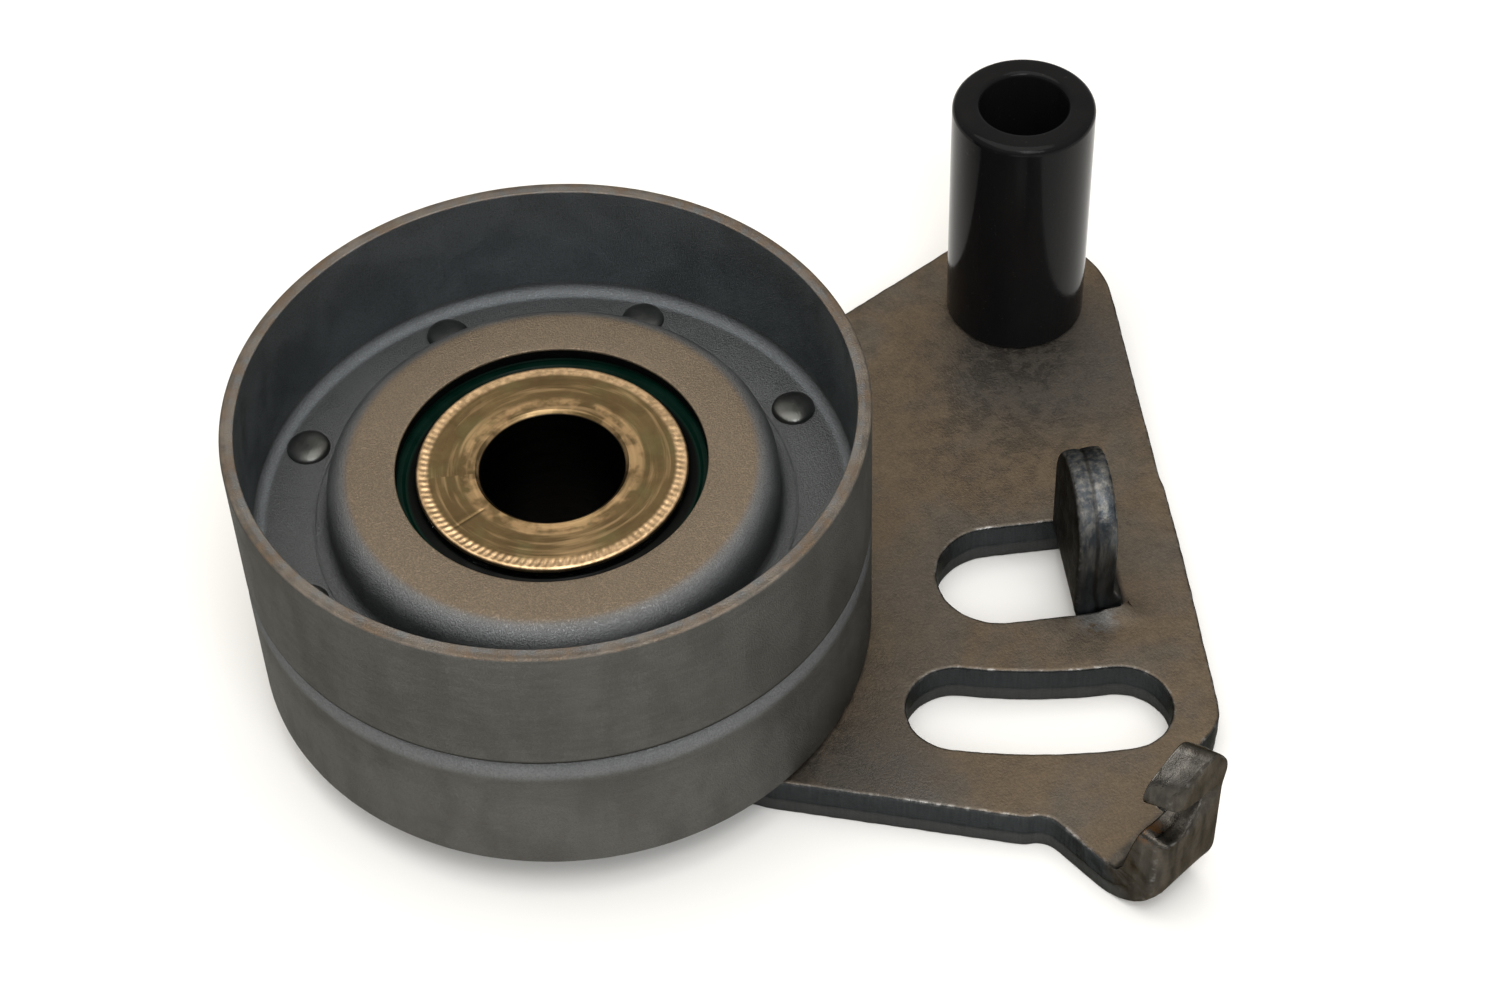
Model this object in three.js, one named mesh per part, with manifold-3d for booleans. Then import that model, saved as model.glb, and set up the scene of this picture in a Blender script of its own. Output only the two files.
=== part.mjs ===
// Belt tensioner idler. A stamped steel bracket swings on a tubular pivot sleeve and carries a
// riveted two-piece flat pulley on a sealed ball bearing. Millimetres, +Z up.
//
// The design frame has the pulley's axis on Z and the bracket's underside at z = 0. The exported
// group is shifted so that the finished object has its origin at its bottom centre.

import * as THREE from 'three';
import { mergeVertices } from 'three/addons/utils/BufferGeometryUtils.js';
import Module from 'manifold-3d';

const wasm = await Module();
wasm.setup();

const DEG = Math.PI / 180;

// ---------------------------------------------------------------- driving dimensions

const ROUND = 36; // facets round a large turned piece
const RIVET_ROUND = 10; // facets round a rivet and its hole
const FIT = 0.02; // play between pieces that are clamped or pressed together
const RUNNING = 0.1; // radial play between pieces that turn on each other
const POCKET = 0.3; // play of a ball in its cage pocket

const plateThickness = 4.75;
const pulleyGap = 0.55; // between the bracket's upper face and the pulley

// pulley
const pulleyRadius = 30;
const pulleyWidth = 30;
const cupSheet = 1.35;
const cupCornerRadius = 2.4; // outside of the bend between rim and web
const domeHoleRadius = 14.7;
const domeShoulderRadius = 2.55;
const domeFootRadius = 1.1;
const rivetCount = 8;
const rivetCircleRadius = 25.5;
const rivetPhase = 20.4; // degrees
const rivetHead = { radius: 1.95, height: 0.75 };
const rivetShankRadius = 1.2;

// sealed ball bearing, 17 x 40 x 12
const bearing = {
  bore: 8.5,
  outer: 20,
  width: 12,
  innerLand: 12.25,
  outerLand: 16.35,
  chamfer: 0.7,
  outerChamfer: 1.2,
};
const ballRadius = 6.747 / 2;
const ballPitchRadius = 14.25;
const ballCount = 8;
const grooveRadius = ballRadius + 0.12;
const seal = { inner: 12.6, outer: 17.3, thickness: 0.9, recess: 0.35 };
const cage = { inner: 13.5, outer: 15.0, halfWidth: 4.2 };

// hub sleeve that the bearing sits on
const hub = { bore: 6.83, flangeRadius: 12.83, flangeThickness: 0.85, flare: 10, flareDepth: 1.2 };
const spacerRadius = 12;

// pivot sleeve
const pivot = { x: 51.4, y: 37, radius: 7.3, bore: 4.5, spigot: 5.9, top: 32.9, chamfer: 0.8 };

// bracket outline
const pivotLobeRadius = 10.6;
const hubLobeRadius = 14;
const frontCorner = { x: 17.4, y: -22.9 };
const frontEdgeAngle = -18.1 * DEG;
const rightKnee = { x: 61.7, y: -1 }; // where the right edge starts to lean in
const rightCorner = { x: 61.1, y: -20, radius: 4 };

// adjusting slot, an arc about the pivot
const slot = { radius: 55.85, halfWidth: 4.95, from: -105.8 * DEG, to: -89.6 * DEG };

// index tab, bent up out of its own slot
const tab = {
  slotLeft: 36.85,
  slotHalfWidth: 6.15,
  centreY: -0.75,
  halfWidth: 6.0,
  face: 49.5, // its face on the slot's side
  tipThickness: 3.9,
  taperEnd: 2.5, // height above the bracket where the tip thickness is reached
  insideRadius: 1.0,
  outsideRadius: 5.6,
  height: 14.4,
};

// spring hook, a tongue bent up at the lower right corner. Its own axes are "along" the bend line
// and "outward" across it.
const hookAngle = 38 * DEG;
const hook = {
  left: 14.4,
  right: 22.6,
  face: 63.7, // outward distance of its outer face from the pulley's axis
  root: 56.3,
  insideRadius: 0.8,
  outsideRadius: 6.5,
  tipThickness: 2.85,
  // heights from here on are above the bracket
  taperEnd: 8, // where the tip thickness is reached
  shoulder: 9.8, // where the right edge starts to round over
  top: 17.2,
  nose: { top: 15, bottom: 13.8 }, // left end of the prong
  notch: { wall: 3, top: 10.4, bottom: 8.8, floor: 5.6, lip: 8.2 },
};

// ---------------------------------------------------------------- derived heights

const pulleyBottom = plateThickness + pulleyGap;
const midPlane = pulleyBottom + pulleyWidth / 2;
const bearingTop = midPlane + bearing.width / 2;
const bearingBottom = midPlane - bearing.width / 2;

// ---------------------------------------------------------------- geometry helpers

// Shared vertices are merged, so that a closed surface is also closed as a mesh.
function welded(geometry) {
  const bare = geometry.clone();
  bare.deleteAttribute('normal');
  bare.deleteAttribute('uv');
  return mergeVertices(bare, 1e-4);
}

function toSolid(geometry) {
  const shell = welded(geometry);
  const mesh = new wasm.Mesh({
    numProp: 3,
    vertProperties: new Float32Array(shell.attributes.position.array),
    triVerts: new Uint32Array(shell.index.array),
  });
  return new wasm.Manifold(mesh);
}

function toGeometry(solid) {
  const mesh = solid.getMesh();
  const geometry = new THREE.BufferGeometry();
  geometry.setAttribute('position', new THREE.BufferAttribute(new Float32Array(mesh.vertProperties), 3));
  geometry.setIndex(new THREE.BufferAttribute(new Uint32Array(mesh.triVerts), 1));
  return geometry;
}

// Points [radius, height] of an arc in a profile, angles in degrees from the outward direction.
function arc(centreX, centreY, radius, from, to, steps) {
  const points = [];
  for (let i = 0; i <= steps; i += 1) {
    const angle = (from + ((to - from) * i) / steps) * DEG;
    points.push([centreX + radius * Math.cos(angle), centreY + radius * Math.sin(angle)]);
  }
  return points;
}

// A solid of revolution about Z whose profile starts and ends on the axis.
function turnedSolid(profile, segments) {
  const points = profile.map(([radius, height]) => new THREE.Vector2(radius, height));
  const geometry = new THREE.LatheGeometry(points, segments);
  geometry.rotateX(Math.PI / 2);
  return welded(geometry);
}

// A ring turned about Z from a closed profile that runs up its outer side.
function turned(profile, segments = ROUND) {
  return turnedSolid([...profile, profile[0]], segments);
}

function polygon(points) {
  return new THREE.Shape(points.map(([x, y]) => new THREE.Vector2(x, y)));
}

function extruded(shape, depth, curveSegments = 12) {
  return new THREE.ExtrudeGeometry(shape, { depth, bevelEnabled: false, curveSegments });
}

function drilled(geometry, cutters) {
  let solid = toSolid(geometry);
  for (const cutter of cutters) solid = solid.subtract(toSolid(cutter));
  return toGeometry(solid);
}

// ---------------------------------------------------------------- materials

function finish(color, roughness, metalness) {
  return new THREE.MeshStandardMaterial({ color, roughness, metalness });
}

const bareSteel = finish(0x77726b, 0.55, 0.85);
const pressedSteel = finish(0x83817d, 0.4, 0.9);
const blackOxide = finish(0x111214, 0.2, 0.6);
const yellowZinc = finish(0xa8895a, 0.35, 0.9);
const bearingSteel = finish(0xa9abad, 0.2, 1.0);
const sealRubber = finish(0x0c2a20, 0.6, 0.0);
const rivetSteel = finish(0x5f6062, 0.35, 0.9);

// ---------------------------------------------------------------- pulley

// One pressed cup: rim, rounded corner, web and a dome over half of the bearing. Heights are from
// the plane where the two cups meet.
function cupProfile() {
  const s = cupSheet;
  const halfWidth = pulleyWidth / 2;
  const corner = cupCornerRadius;
  const domeTop = bearing.width / 2 + FIT + s;
  const domeInner = bearing.outer + FIT;
  const shoulder = domeShoulderRadius;
  const foot = domeFootRadius;
  const joint = FIT / 2;
  const edge = 0.3; // broken edge at the open end of the rim
  return [
    ...arc(pulleyRadius - corner, joint + corner, corner, -90, 0, 3),
    [pulleyRadius, halfWidth - edge],
    [pulleyRadius - edge, halfWidth],
    [pulleyRadius - s, halfWidth],
    ...arc(pulleyRadius - corner, joint + corner, corner - s, 0, -90, 2),
    ...arc(domeInner + s + foot, joint + s + foot, foot, -90, -180, 2),
    ...arc(domeInner + s - shoulder, domeTop - shoulder, shoulder, 0, 90, 3),
    [domeHoleRadius, domeTop],
    [domeHoleRadius, domeTop - s],
    ...arc(domeInner + s - shoulder, domeTop - shoulder, shoulder - s, 90, 0, 2),
    ...arc(domeInner + s + foot, joint + s + foot, foot + s, 180, 270, 2),
  ];
}

function rivetAngle(index) {
  return (rivetPhase + (index * 360) / rivetCount) * DEG;
}

function rivetCentre(angle) {
  return [rivetCircleRadius * Math.cos(angle), rivetCircleRadius * Math.sin(angle)];
}

function rivetHoles() {
  const cutters = [];
  const reach = 2 * cupSheet;
  const radius = rivetShankRadius + FIT;
  for (let i = 0; i < rivetCount; i += 1) {
    const cutter = turnedSolid([[0, -reach], [radius, -reach], [radius, reach], [0, reach]], RIVET_ROUND);
    cutter.rotateZ(rivetAngle(i));
    cutter.translate(...rivetCentre(rivetAngle(i)), 0);
    cutters.push(cutter);
  }
  return cutters;
}

function pulleyCup(upper) {
  const blank = turned(cupProfile());
  if (!upper) blank.rotateX(Math.PI);
  return drilled(blank, rivetHoles());
}

// A rivet closed on both sides: two low domed heads on one shank.
function rivet() {
  const seat = cupSheet + FIT;
  const { radius, height } = rivetHead;
  const top = [
    [radius, seat],
    [radius * 0.9, seat + height * 0.55],
    [radius * 0.55, seat + height * 0.92],
    [0, seat + height],
  ];
  const bottom = top.map(([r, z]) => [r, -z]).reverse();
  const shank = [[rivetShankRadius, -seat], [rivetShankRadius, seat]];
  return turnedSolid([...bottom, ...shank, ...top], RIVET_ROUND);
}

// ---------------------------------------------------------------- bearing

// Half-width of a race groove at a land of the given radius.
function grooveHalfWidth(land) {
  const depth = Math.abs(land - ballPitchRadius);
  return Math.sqrt(grooveRadius ** 2 - depth ** 2);
}

function innerRing() {
  const half = bearing.width / 2;
  const land = bearing.innerLand;
  const bite = Math.asin(grooveHalfWidth(land) / grooveRadius) / DEG;
  return turned([
    [land - 0.4, -half],
    [land, -half + 0.4],
    ...arc(ballPitchRadius, 0, grooveRadius, 180 + bite, 180 - bite, 4),
    [land, half - 0.4],
    [land - 0.4, half],
    [bearing.bore + bearing.chamfer, half],
    [bearing.bore, half - bearing.chamfer],
    [bearing.bore, -half + bearing.chamfer],
    [bearing.bore + bearing.chamfer, -half],
  ]);
}

// The outer ring's bore steps out at both ends to take the seals.
function outerRing() {
  const half = bearing.width / 2;
  const land = bearing.outerLand;
  const step = half - seal.recess - seal.thickness - FIT;
  const sealSeat = seal.outer + FIT;
  const bite = Math.asin(grooveHalfWidth(land) / grooveRadius) / DEG;
  const { outer, outerChamfer: chamfer } = bearing;
  return turned([
    [outer, -half + chamfer],
    [outer, half - chamfer],
    [outer - chamfer, half],
    [sealSeat, half],
    [sealSeat, step],
    [land, step],
    ...arc(ballPitchRadius, 0, grooveRadius, bite, -bite, 4),
    [land, -step],
    [sealSeat, -step],
    [sealSeat, -half],
    [outer - chamfer, -half],
  ]);
}

function bearingSeal(upper) {
  const face = bearing.width / 2 - seal.recess;
  const back = face - seal.thickness;
  const geometry = turned([[seal.outer, back], [seal.outer, face], [seal.inner, face], [seal.inner, back]]);
  if (!upper) geometry.rotateX(Math.PI);
  return geometry;
}

function ballCentres() {
  const centres = [];
  for (let i = 0; i < ballCount; i += 1) {
    const angle = (i * 2 * Math.PI) / ballCount;
    centres.push([ballPitchRadius * Math.cos(angle), ballPitchRadius * Math.sin(angle)]);
  }
  return centres;
}

function ball(radius) {
  const geometry = new THREE.SphereGeometry(radius, 10, 7);
  geometry.rotateX(Math.PI / 2);
  return welded(geometry);
}

// Half of a pressed cage: a band above (or below) the balls' plane with a pocket for each ball.
function cageHalf(upper) {
  const { inner, outer, halfWidth } = cage;
  const band = turned([[outer, FIT], [outer, halfWidth], [inner, halfWidth], [inner, FIT]], ballCount * 3);
  if (!upper) band.rotateX(Math.PI);
  const pockets = ballCentres().map(([x, y]) => ball(ballRadius + POCKET).translate(x, y, 0));
  return drilled(band, pockets);
}

// ---------------------------------------------------------------- hub and pivot

// The flanged sleeve goes down through bearing, spacer and bracket, and is flared into the
// bracket's countersink, flush with the underside.
function hubSleeve() {
  const tube = bearing.bore - FIT;
  const flangeBottom = bearingTop + FIT;
  const flangeTop = flangeBottom + hub.flangeThickness;
  const flare = hub.flare - 3 * FIT;
  const lip = 0.3;
  return turned([
    [flare, FIT],
    [tube, hub.flareDepth - 3 * FIT],
    [tube, flangeBottom],
    [hub.flangeRadius, flangeBottom],
    [hub.flangeRadius, flangeTop - lip],
    [hub.flangeRadius - lip, flangeTop],
    [hub.bore + lip, flangeTop],
    [hub.bore, flangeTop - lip],
    [hub.bore, FIT],
  ]);
}

function hubSpacer() {
  const bottom = plateThickness + FIT;
  const top = bearingBottom - FIT;
  const bore = bearing.bore + FIT;
  return turned([[spacerRadius, bottom], [spacerRadius, top], [bore, top], [bore, bottom]]);
}

// The sleeve's shoulder stands on the bracket and its spigot is the journal the bracket turns on.
function pivotSleeve() {
  const shoulder = plateThickness + RUNNING / 2;
  const { radius, bore, spigot, top, chamfer } = pivot;
  return turned([
    [spigot, 0],
    [spigot, shoulder],
    [radius, shoulder],
    ...arc(radius - chamfer, top - chamfer, chamfer, 0, 90, 3),
    ...arc(bore + chamfer / 2, top - chamfer / 2, chamfer / 2, 90, 180, 2),
    [bore, 0],
  ], 32);
}

// ---------------------------------------------------------------- bracket

const along = new THREE.Vector2(Math.cos(hookAngle), Math.sin(hookAngle));
const outward = new THREE.Vector2(Math.sin(hookAngle), -Math.cos(hookAngle));
const hookBend = hook.face - hook.outsideRadius; // where the tongue starts to bend

function hookPoint(alongDistance, outwardDistance) {
  return along.clone().multiplyScalar(alongDistance).addScaledVector(outward, outwardDistance);
}

// Where the line from a point in a direction crosses a line parallel to "outward".
function crossTongueSide(start, direction, side) {
  const reach = (side - start.dot(along)) / direction.dot(along);
  return start.clone().addScaledVector(direction, reach);
}

// Angle, seen from a circle's centre, of the point where a tangent from outside touches it.
function touchAngle(point, radius, turn) {
  return Math.atan2(point.y, point.x) + turn * Math.acos(radius / point.length());
}

// The flat blank, counter-clockwise from the front corner.
function bracketOutline() {
  const corner = new THREE.Vector2(frontCorner.x, frontCorner.y);
  const frontDirection = new THREE.Vector2(Math.cos(frontEdgeAngle), Math.sin(frontEdgeAngle));
  const pivotCentre = new THREE.Vector2(pivot.x, pivot.y);
  const lobeStep = hubLobeRadius - pivotLobeRadius;
  const backAngle = pivotCentre.angle() + Math.acos(lobeStep / pivotCentre.length());
  const shape = new THREE.Shape();
  const tongueLeft = crossTongueSide(corner, frontDirection, hook.left);
  const bendLeft = hookPoint(hook.left, hookBend);
  const bendRight = hookPoint(hook.right, hookBend);
  const root = hookPoint(hook.right, hook.root);
  shape.moveTo(corner.x, corner.y);
  for (const point of [tongueLeft, bendLeft, bendRight, root]) shape.lineTo(point.x, point.y);
  const { x, y, radius } = rightCorner;
  shape.absarc(x - radius, y, radius, hookAngle - Math.PI / 2, 0, false);
  shape.lineTo(rightKnee.x, rightKnee.y);
  shape.absarc(pivot.x, pivot.y, pivotLobeRadius, 0, backAngle, false);
  shape.absarc(0, 0, hubLobeRadius, backAngle, touchAngle(corner, hubLobeRadius, -1) + 2 * Math.PI, false);
  shape.closePath();
  return shape;
}

function roundHole(x, y, radius) {
  const path = new THREE.Path();
  path.absarc(x, y, radius, 0, 2 * Math.PI, true);
  return path;
}

// A slot of constant width along an arc about the pivot, with round ends.
function adjustingSlot() {
  const { radius, halfWidth, from, to } = slot;
  const end = (angle) => [pivot.x + radius * Math.cos(angle), pivot.y + radius * Math.sin(angle)];
  const path = new THREE.Path();
  path.absarc(pivot.x, pivot.y, radius + halfWidth, from, to, false);
  path.absarc(...end(to), halfWidth, to, to + Math.PI, false);
  path.absarc(pivot.x, pivot.y, radius - halfWidth, to, from, true);
  path.absarc(...end(from), halfWidth, from + Math.PI, from + 2 * Math.PI, false);
  return path;
}

const tabBend = tab.face + tab.outsideRadius; // where the tab starts to bend

function tabSlot() {
  const { slotLeft, centreY, slotHalfWidth } = tab;
  const path = new THREE.Path();
  path.moveTo(tabBend, centreY + slotHalfWidth);
  path.lineTo(slotLeft + slotHalfWidth, centreY + slotHalfWidth);
  path.absarc(slotLeft + slotHalfWidth, centreY, slotHalfWidth, Math.PI / 2, 1.5 * Math.PI, false);
  path.lineTo(tabBend, centreY - slotHalfWidth);
  path.closePath();
  return path;
}

// Side view of a strip that leaves the plate at 0, runs towards +x and bends up through a right
// angle. The tip is thinner than the plate, taken off its inner face.
function bentStrip({ insideRadius, outsideRadius, tipThickness, taperEnd }, crown) {
  const t = plateThickness;
  const face = outsideRadius;
  return [
    [-2, 0],
    ...arc(0, outsideRadius, outsideRadius, -90, 0, 6),
    ...crown.map(([depth, height]) => [face - depth, t + height]),
    [face - tipThickness, t + taperEnd],
    ...arc(face - t - insideRadius, t + insideRadius, insideRadius, 0, -90, 3),
    [-2, t],
  ];
}

// A side view [x, z] given thickness along Y, from -reach to +reach.
function acrossY(profile, reach) {
  const geometry = extruded(polygon(profile), 2 * reach);
  geometry.translate(0, 0, -reach);
  geometry.rotateX(Math.PI / 2);
  return geometry;
}

// A front view [y, z] given thickness along X, from -reach to +reach.
function acrossX(shape, reach) {
  const geometry = extruded(shape, 2 * reach, 8);
  geometry.translate(0, 0, -reach);
  geometry.rotateX(Math.PI / 2);
  geometry.rotateZ(Math.PI / 2);
  return geometry;
}

// The tab's front view has a round top.
function indexTab() {
  const crown = [[0, tab.height], [tab.tipThickness, tab.height]];
  const side = acrossY(bentStrip(tab, crown), tab.halfWidth + 1);
  const front = new THREE.Shape();
  const springLine = plateThickness + tab.height - tab.halfWidth;
  front.moveTo(-tab.halfWidth, -1);
  front.lineTo(tab.halfWidth, -1);
  front.absarc(0, springLine, tab.halfWidth, 0, Math.PI, false);
  front.closePath();
  const solid = toSolid(side).intersect(toSolid(acrossX(front, 30)));
  return solid.rotate([0, 0, 180]).translate([tabBend, tab.centreY, 0]);
}

// Front view of the hook: a notch opens to its left under an overhanging prong, whose top slopes
// down to its nose.
function hookFront() {
  const base = plateThickness;
  const { left, right, shoulder, top, nose, notch } = hook;
  const notchEnd = right - notch.wall;
  const front = new THREE.Shape();
  front.moveTo(left, -1);
  front.lineTo(right, -1);
  front.lineTo(right, base + shoulder);
  front.quadraticCurveTo(right - 0.9, base + top - 2, right - 2.6, base + top);
  front.lineTo(left + 1.8, base + nose.top);
  front.quadraticCurveTo(left - 0.1, base + nose.top - 0.6, left, base + nose.bottom);
  front.lineTo(notchEnd, base + notch.top);
  front.quadraticCurveTo(notchEnd + 1.2, base + notch.top - 0.8, notchEnd + 0.7, base + notch.bottom);
  front.quadraticCurveTo(right - 5, base + notch.floor, left + 0.2, base + notch.lip);
  front.closePath();
  return front;
}

function springHook() {
  const { top, tipThickness } = hook;
  const crown = [[0, top - 2.2], [0.5, top - 1.4], [tipThickness, top]];
  const side = acrossY(bentStrip(hook, crown), 40);
  const solid = toSolid(side).intersect(toSolid(acrossX(hookFront(), 20)));
  const start = outward.clone().multiplyScalar(hookBend);
  return solid.rotate([0, 0, (hookAngle - Math.PI / 2) / DEG]).translate([start.x, start.y, 0]);
}

// The countersink that the hub sleeve's end is flared into.
function countersink() {
  const { flare, flareDepth } = hub;
  const bore = bearing.bore;
  const end = flareDepth + 1;
  return turnedSolid([[0, -1], [flare, -1], [flare, 0], [bore, flareDepth], [bore, end], [0, end]], ROUND);
}

function bracketPlate() {
  const blank = bracketOutline();
  blank.holes = [adjustingSlot(), tabSlot(), roundHole(pivot.x, pivot.y, pivot.spigot + RUNNING)];
  const hubHole = turnedSolid([[0, -1], [bearing.bore, -1], [bearing.bore, 9], [0, 9]], ROUND);
  const solid = toSolid(extruded(blank, plateThickness, 12))
    .subtract(toSolid(hubHole))
    .subtract(toSolid(countersink()))
    .add(indexTab())
    .add(springHook());
  return toGeometry(solid);
}

// ---------------------------------------------------------------- assembly

const design = new THREE.Group();

function add(name, geometry, material, x = 0, y = 0, z = 0) {
  const mesh = new THREE.Mesh(geometry, material);
  mesh.name = name;
  mesh.position.set(x, y, z);
  design.add(mesh);
  return mesh;
}

add('bracket_plate', bracketPlate(), bareSteel);
add('pivot_sleeve', pivotSleeve(), blackOxide, pivot.x, pivot.y);
add('hub_sleeve', hubSleeve(), yellowZinc);
add('hub_spacer', hubSpacer(), bearingSteel);
add('pulley_cup_upper', pulleyCup(true), pressedSteel, 0, 0, midPlane);
add('pulley_cup_lower', pulleyCup(false), pressedSteel, 0, 0, midPlane);
add('bearing_inner_ring', innerRing(), bearingSteel, 0, 0, midPlane);
add('bearing_outer_ring', outerRing(), bearingSteel, 0, 0, midPlane);
add('bearing_seal_upper', bearingSeal(true), sealRubber, 0, 0, midPlane);
add('bearing_seal_lower', bearingSeal(false), sealRubber, 0, 0, midPlane);
add('bearing_cage_upper', cageHalf(true), bearingSteel, 0, 0, midPlane);
add('bearing_cage_lower', cageHalf(false), bearingSteel, 0, 0, midPlane);

ballCentres().forEach(([x, y], index) => {
  add(`bearing_ball_${index + 1}`, ball(ballRadius), bearingSteel, x, y, midPlane);
});

for (let i = 0; i < rivetCount; i += 1) {
  const angle = rivetAngle(i);
  const [x, y] = rivetCentre(angle);
  add(`pulley_rivet_${i + 1}`, rivet(), rivetSteel, x, y, midPlane).rotation.z = angle;
}

// The object's origin is the centre of its underside.
const box = new THREE.Box3().setFromObject(design, true);
const centre = box.getCenter(new THREE.Vector3());
design.position.set(-centre.x, -centre.y, 0);

const tensioner = new THREE.Group();
tensioner.add(design);

export default tensioner;
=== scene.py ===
"""The looks of a belt tensioner idler: a riveted pulley on a sealed bearing, carried by a stamped
bracket that swings on a black pivot sleeve."""

import math

import bmesh
import bpy
import numpy as np
from mathutils import Matrix, Vector, geometry, noise


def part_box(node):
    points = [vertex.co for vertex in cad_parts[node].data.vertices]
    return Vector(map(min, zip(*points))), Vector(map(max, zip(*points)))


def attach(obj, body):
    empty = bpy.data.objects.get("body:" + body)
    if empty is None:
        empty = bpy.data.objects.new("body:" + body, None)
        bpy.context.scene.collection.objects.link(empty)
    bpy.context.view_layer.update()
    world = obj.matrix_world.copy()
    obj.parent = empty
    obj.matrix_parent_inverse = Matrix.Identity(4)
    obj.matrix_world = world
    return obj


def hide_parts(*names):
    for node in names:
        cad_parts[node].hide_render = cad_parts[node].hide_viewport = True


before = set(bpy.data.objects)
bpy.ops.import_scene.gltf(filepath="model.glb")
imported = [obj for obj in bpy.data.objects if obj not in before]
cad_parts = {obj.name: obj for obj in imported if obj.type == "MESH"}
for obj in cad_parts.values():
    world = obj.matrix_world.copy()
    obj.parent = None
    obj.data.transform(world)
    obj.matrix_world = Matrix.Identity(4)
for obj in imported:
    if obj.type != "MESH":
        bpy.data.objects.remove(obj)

MM = 0.001
TURN = 2 * math.pi
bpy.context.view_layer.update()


# ---------------- sizes, in millimetres


def box_mm(node):
    low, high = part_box(node)
    return np.array(low) / MM, np.array(high) / MM


def axis_of(node):
    low, high = box_mm(node)
    return (low[:2] + high[:2]) / 2


def radius_of(node):
    low, high = box_mm(node)
    return (high[0] - low[0]) / 2


def nodes_named(start):
    return sorted(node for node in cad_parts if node.startswith(start))


HUB = axis_of("hub_sleeve")
PIVOT = axis_of("pivot_sleeve")
FIT = 0.02  # play between pieces that are clamped together

PLATE = box_mm("hub_spacer")[0][2] - FIT  # thickness of the bracket
PULLEY_LOW = box_mm("pulley_cup_lower")[0][2]
PULLEY_TOP = box_mm("pulley_cup_upper")[1][2]
MID = (PULLEY_LOW + PULLEY_TOP) / 2
HALF_WIDTH = (PULLEY_TOP - PULLEY_LOW) / 2
PULLEY_RADIUS = radius_of("pulley_cup_upper")
BEARING_HALF = box_mm("bearing_outer_ring")[1][2] - MID
BEARING_OUTER = radius_of("bearing_outer_ring")
FLANGE_TOP = box_mm("hub_sleeve")[1][2]
FLANGE_RADIUS = radius_of("hub_sleeve")
SPACER_RADIUS = radius_of("hub_spacer")
SLEEVE_TOP = box_mm("pivot_sleeve")[1][2]
SLEEVE_RADIUS = radius_of("pivot_sleeve")

SHEET = 1.35  # thickness of the pulley's cups
HUB_BORE = 6.83
BEARING_BORE = 8.5
BALL_RADIUS = 6.747 / 2
BALL_PITCH = 14.25
DOME_RADIUS = BEARING_OUTER + FIT + SHEET  # of the domes over the bearing
DOME_HOLE = 14.7
OUTER_LAND = 16.35  # radius of the outer ring's shoulders beside the balls
INNER_LAND = 12.25
SEAL_SEAT = 17.32  # radius of the steps that hold the seals
SEAL_DEPTH = 1.27
SEAL_LIP = 13.9
NOTCH = HUB + np.array((49.6, -38.6))  # left end of the spring hook's notch
HOOK_AT = HUB + np.array((52.8, -37.5))  # middle of the spring hook
SLEEVE_SHADE = PIVOT + np.array((2.0, -9.0))  # middle of the patch that the sleeve shades
PULLEY_SHADE = HUB + np.array((27.0, -24.0))
TAB_FOOT = HUB + np.array((51.5, -7.6))  # where the sheet was drawn out beside the tab's foot
SEAM = 0.42  # height in the sheet of the seam along the tab's edge, as a share of the thickness
UNDERSIDE = 0.062  # lowest the bracket's underside may be where it isn't dented
RIVET_RADIUS = 2.1
RIVET_HEIGHT = 0.75


# ---------------- meshes


def make_object(name, points, faces, body, slot, node):
    """A smooth-shaded piece from points in millimetres, which rides on a body and stands for a CAD node."""
    mesh = bpy.data.meshes.new(name)
    mesh.from_pydata([tuple(p) for p in np.asarray(points) * MM], [], faces)
    work = bmesh.new()
    work.from_mesh(mesh)
    bmesh.ops.recalc_face_normals(work, faces=work.faces)
    work.to_mesh(mesh)
    work.free()
    mesh.polygons.foreach_set("use_smooth", [True] * len(mesh.polygons))
    mesh.set_sharp_from_angle(angle=math.radians(38))
    mesh.materials.append(LOOKS[slot])
    piece = bpy.data.objects.new(name, mesh)
    bpy.context.scene.collection.objects.link(piece)
    weighted = piece.modifiers.new("weighted", "WEIGHTED_NORMAL")
    weighted.keep_sharp = True
    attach(piece, body)
    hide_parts(node)
    return piece


def rounded(corners, steps=5):
    """A closed profile from corners (radius, height, fillet), with each fillet as an arc."""
    profile = []
    count = len(corners)
    for i, (x, z, fillet) in enumerate(corners):
        here = Vector((x, z))
        before = (Vector(corners[i - 1][:2]) - here).normalized()
        after = (Vector(corners[(i + 1) % count][:2]) - here).normalized()
        opening = before.angle(after)
        if fillet <= 0 or opening > math.radians(179):
            profile.append((x, z))
            continue
        reach = fillet / math.tan(opening / 2)
        centre = here + (before + after).normalized() * (fillet / math.sin(opening / 2))
        start, end = here + before * reach - centre, here + after * reach - centre
        sweep = start.angle_signed(end)
        for k in range(steps + 1):
            turned = Matrix.Rotation(-sweep * k / steps, 2) @ start
            profile.append(tuple(centre + turned))
    return profile


def split_long(profile, longest):
    """The closed profile with its long straight runs cut into shorter ones."""
    result = []
    for i, start in enumerate(profile):
        end = profile[(i + 1) % len(profile)]
        gap = math.dist(start, end)
        parts = max(1, math.ceil(gap / longest))
        for k in range(parts):
            share = k / parts
            result.append(tuple(a + (b - a) * share for a, b in zip(start, end)))
    return result


def on_ring(axis, radius, angle, z):
    return axis[0] + radius * math.cos(angle), axis[1] + radius * math.sin(angle), z


def ring_faces(segments, rows):
    """Quads between the copies of a closed profile that stand round a ring."""
    faces = []
    for i in range(segments):
        a, b = i * rows, ((i + 1) % segments) * rows
        for k in range(rows):
            n = (k + 1) % rows
            faces.append((a + k, b + k, b + n, a + n))
    return faces


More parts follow.
